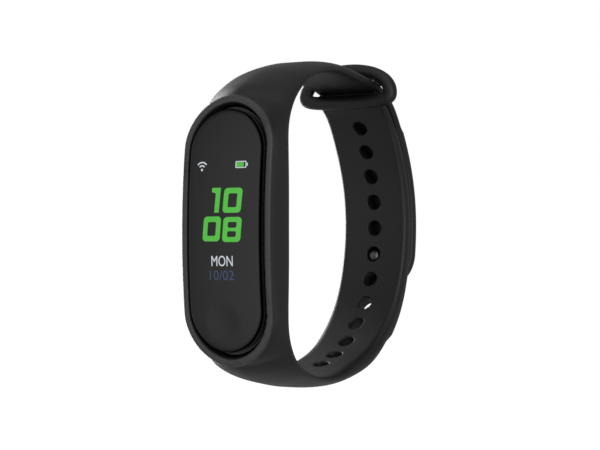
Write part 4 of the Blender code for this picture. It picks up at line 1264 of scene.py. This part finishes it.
def insideFinishes():
    return {
        "foam": makeFoam("gasketFoam"),
        "frame": makePlastic("greyCarrier", (0.1, 0.1, 0.11), 0.45),
        "display": makeFilm("displayFilm", (0.008, 0.01, 0.018), (0.02, 0.022, 0.03)),
        "polyimide": makeFilm("amberFilm", (0.5, 0.2, 0.03), (0.62, 0.3, 0.08)),
        "copper": makeMetal("copperWinding", (0.7, 0.36, 0.2), 0.3, (1.0, 1.0, 0.1), 0.02),
        "board": makeBoard("greenBoard", (0.015, 0.09, 0.05)),
        "chip": makePlastic("chipResin", (0.018, 0.018, 0.02), 0.55, 0.06, 0.004),
        "ceramic": makePlastic("paleCeramic", (0.7, 0.67, 0.6), 0.5, 0.05, 0.003, 0.05),
        "battery": makeMetal("batteryPouch", (0.6, 0.61, 0.63), 0.32, (1.0, 0.4, 1.0), 0.02),
        "red_wire": makePlastic("redInsulation", (0.45, 0.015, 0.012), 0.4, 0.08, 0.003, 0.15),
        "black_wire": makePlastic("blackInsulation", (0.014, 0.014, 0.014), 0.4, 0.08, 0.003),
        "steel": makeMetal("brightSteel", (0.56, 0.56, 0.57), 0.25),
        "tungsten": makeMetal("sinteredTungsten", (0.28, 0.28, 0.3), 0.42, (1.0, 1.0, 1.0), 0.008),
        "led": makePlastic("clearLamp", (0.5, 0.75, 0.4), 0.22, 0.1, 0.002, 0.05),
    }


def finishInside():
    made = insideFinishes()
    for piece in shown.values():
        kind = piece.data.materials[0].name
        if piece.hide_render:
            continue
        piece.data.materials.clear()
        piece.data.materials.append(made[kind])
        keepPlace(piece.data)


finishInside()


# ---- stage: pale floor, soft light and the camera

print("stage, lights and camera")

stage = dict(
    floorZ=cadLow.z - 0.2 * mm,
    floorHalf=2.5,
    lens=105.64,  # millimetres, on a 36 mm sensor
    cameraPlace=(0.183876, -0.304728, -0.004782),
    cameraAhead=(-0.5258, 0.85043, 0.01771),
)
# light that falls on the object, as a share of the white behind it
room = dict(
    low=0.42,
    high=0.3,
    rise=(-0.5, 0.9),
    front=0.5,
    frontAzimuth=15,
    frontElevation=5,
    spread=(0.15, 0.95),
)


def directionOf(azimuth, elevation):
    # azimuth 0 is in front of the display, 90 is at +X
    a, e = math.radians(azimuth), math.radians(elevation)
    return Vector((math.sin(a) * math.cos(e), -math.cos(a) * math.cos(e), math.sin(e)))


def addFloor():
    half, z = stage["floorHalf"], stage["floorZ"]
    corners = [(-half, -half, z), (half, -half, z), (half, half, z), (-half, half, z)]
    floor = meshFrom("floor", corners, [(0, 1, 2, 3)])
    f = Finish("paleFloor", Emission_Strength=1.0)
    at = f.node("TexCoord", output="Object")
    faint = f.noise(at, 0.004, 3.0)
    shade = f.mixed(faint * 0.3, (1.0, 1.0, 1.0), (0.99, 0.99, 0.99))
    f.to(Base_Color=(0.0, 0.0, 0.0), Emission_Color=shade, Roughness=1.0)
    floor.data.materials.append(f.material)
    floor.visible_diffuse = False  # the room alone lights the object
    floor.visible_glossy = False


def addWorld():
    # white behind the object, and a dimmer soft room, brighter in front, for the light that falls on it
    world = bpy.data.worlds.new("studio")
    bpy.context.scene.world = world
    world.use_nodes = True
    world.node_tree.nodes.clear()
    f = Nodes(world.node_tree)
    toward = f.node("TexCoord", output="Generated")
    middle = tuple(directionOf(room["frontAzimuth"], room["frontElevation"]))
    facing = f.node("VectorMath", dict(operation="DOT_PRODUCT"), {0: toward, 1: middle}, output="Value")
    height = f.axis(toward, "Z").between(*room["rise"])
    level = room["low"] + height * (room["high"] - room["low"])
    level = level + facing.between(*room["spread"]) * room["front"]
    lit = f.node("Background", None, {"Color": (1.0, 1.0, 1.0), "Strength": level}, output="Background")
    white = f.node("Background", None, {"Color": (1.0, 1.0, 1.0)}, output="Background")
    seen = f.node("LightPath", output="Is Camera Ray")
    mixed = f.node("MixShader", None, {0: seen, 1: lit, 2: white}, output="Shader")
    f.node("OutputWorld", None, {"Surface": mixed})


def addSoftBox(name, azimuth, elevation, distance, size, strength):
    # an area light aimed at the object
    toward = directionOf(azimuth, elevation)
    light = bpy.data.lights.new(name, "AREA")
    light.shape = "RECTANGLE"
    light.size, light.size_y = size
    light.energy = strength
    lamp = addObject(name, light)
    lamp.location = toward * distance
    lamp.rotation_mode = "QUATERNION"
    lamp.rotation_quaternion = toward.to_track_quat("Z", "Y")
    return lamp


def addCamera():
    camera = addObject("camera", bpy.data.cameras.new("camera"))
    camera.data.lens = stage["lens"]
    camera.data.sensor_width = 36.0
    camera.data.clip_start = 0.01
    camera.location = stage["cameraPlace"]
    camera.rotation_mode = "QUATERNION"
    camera.rotation_quaternion = Vector(stage["cameraAhead"]).to_track_quat("-Z", "Y")
    bpy.context.scene.camera = camera


addFloor()
addWorld()
addSoftBox("topLight", 10, 70, 0.6, (0.5, 0.5), 0.4)
addSoftBox("rightLight", 58, 8, 0.7, (0.12, 0.7), 1.5)
addSoftBox("leftEdgeLight", -112, 5, 0.6, (0.2, 0.7), 3.6)
addCamera()
bpy.context.scene.view_settings.view_transform = "Standard"
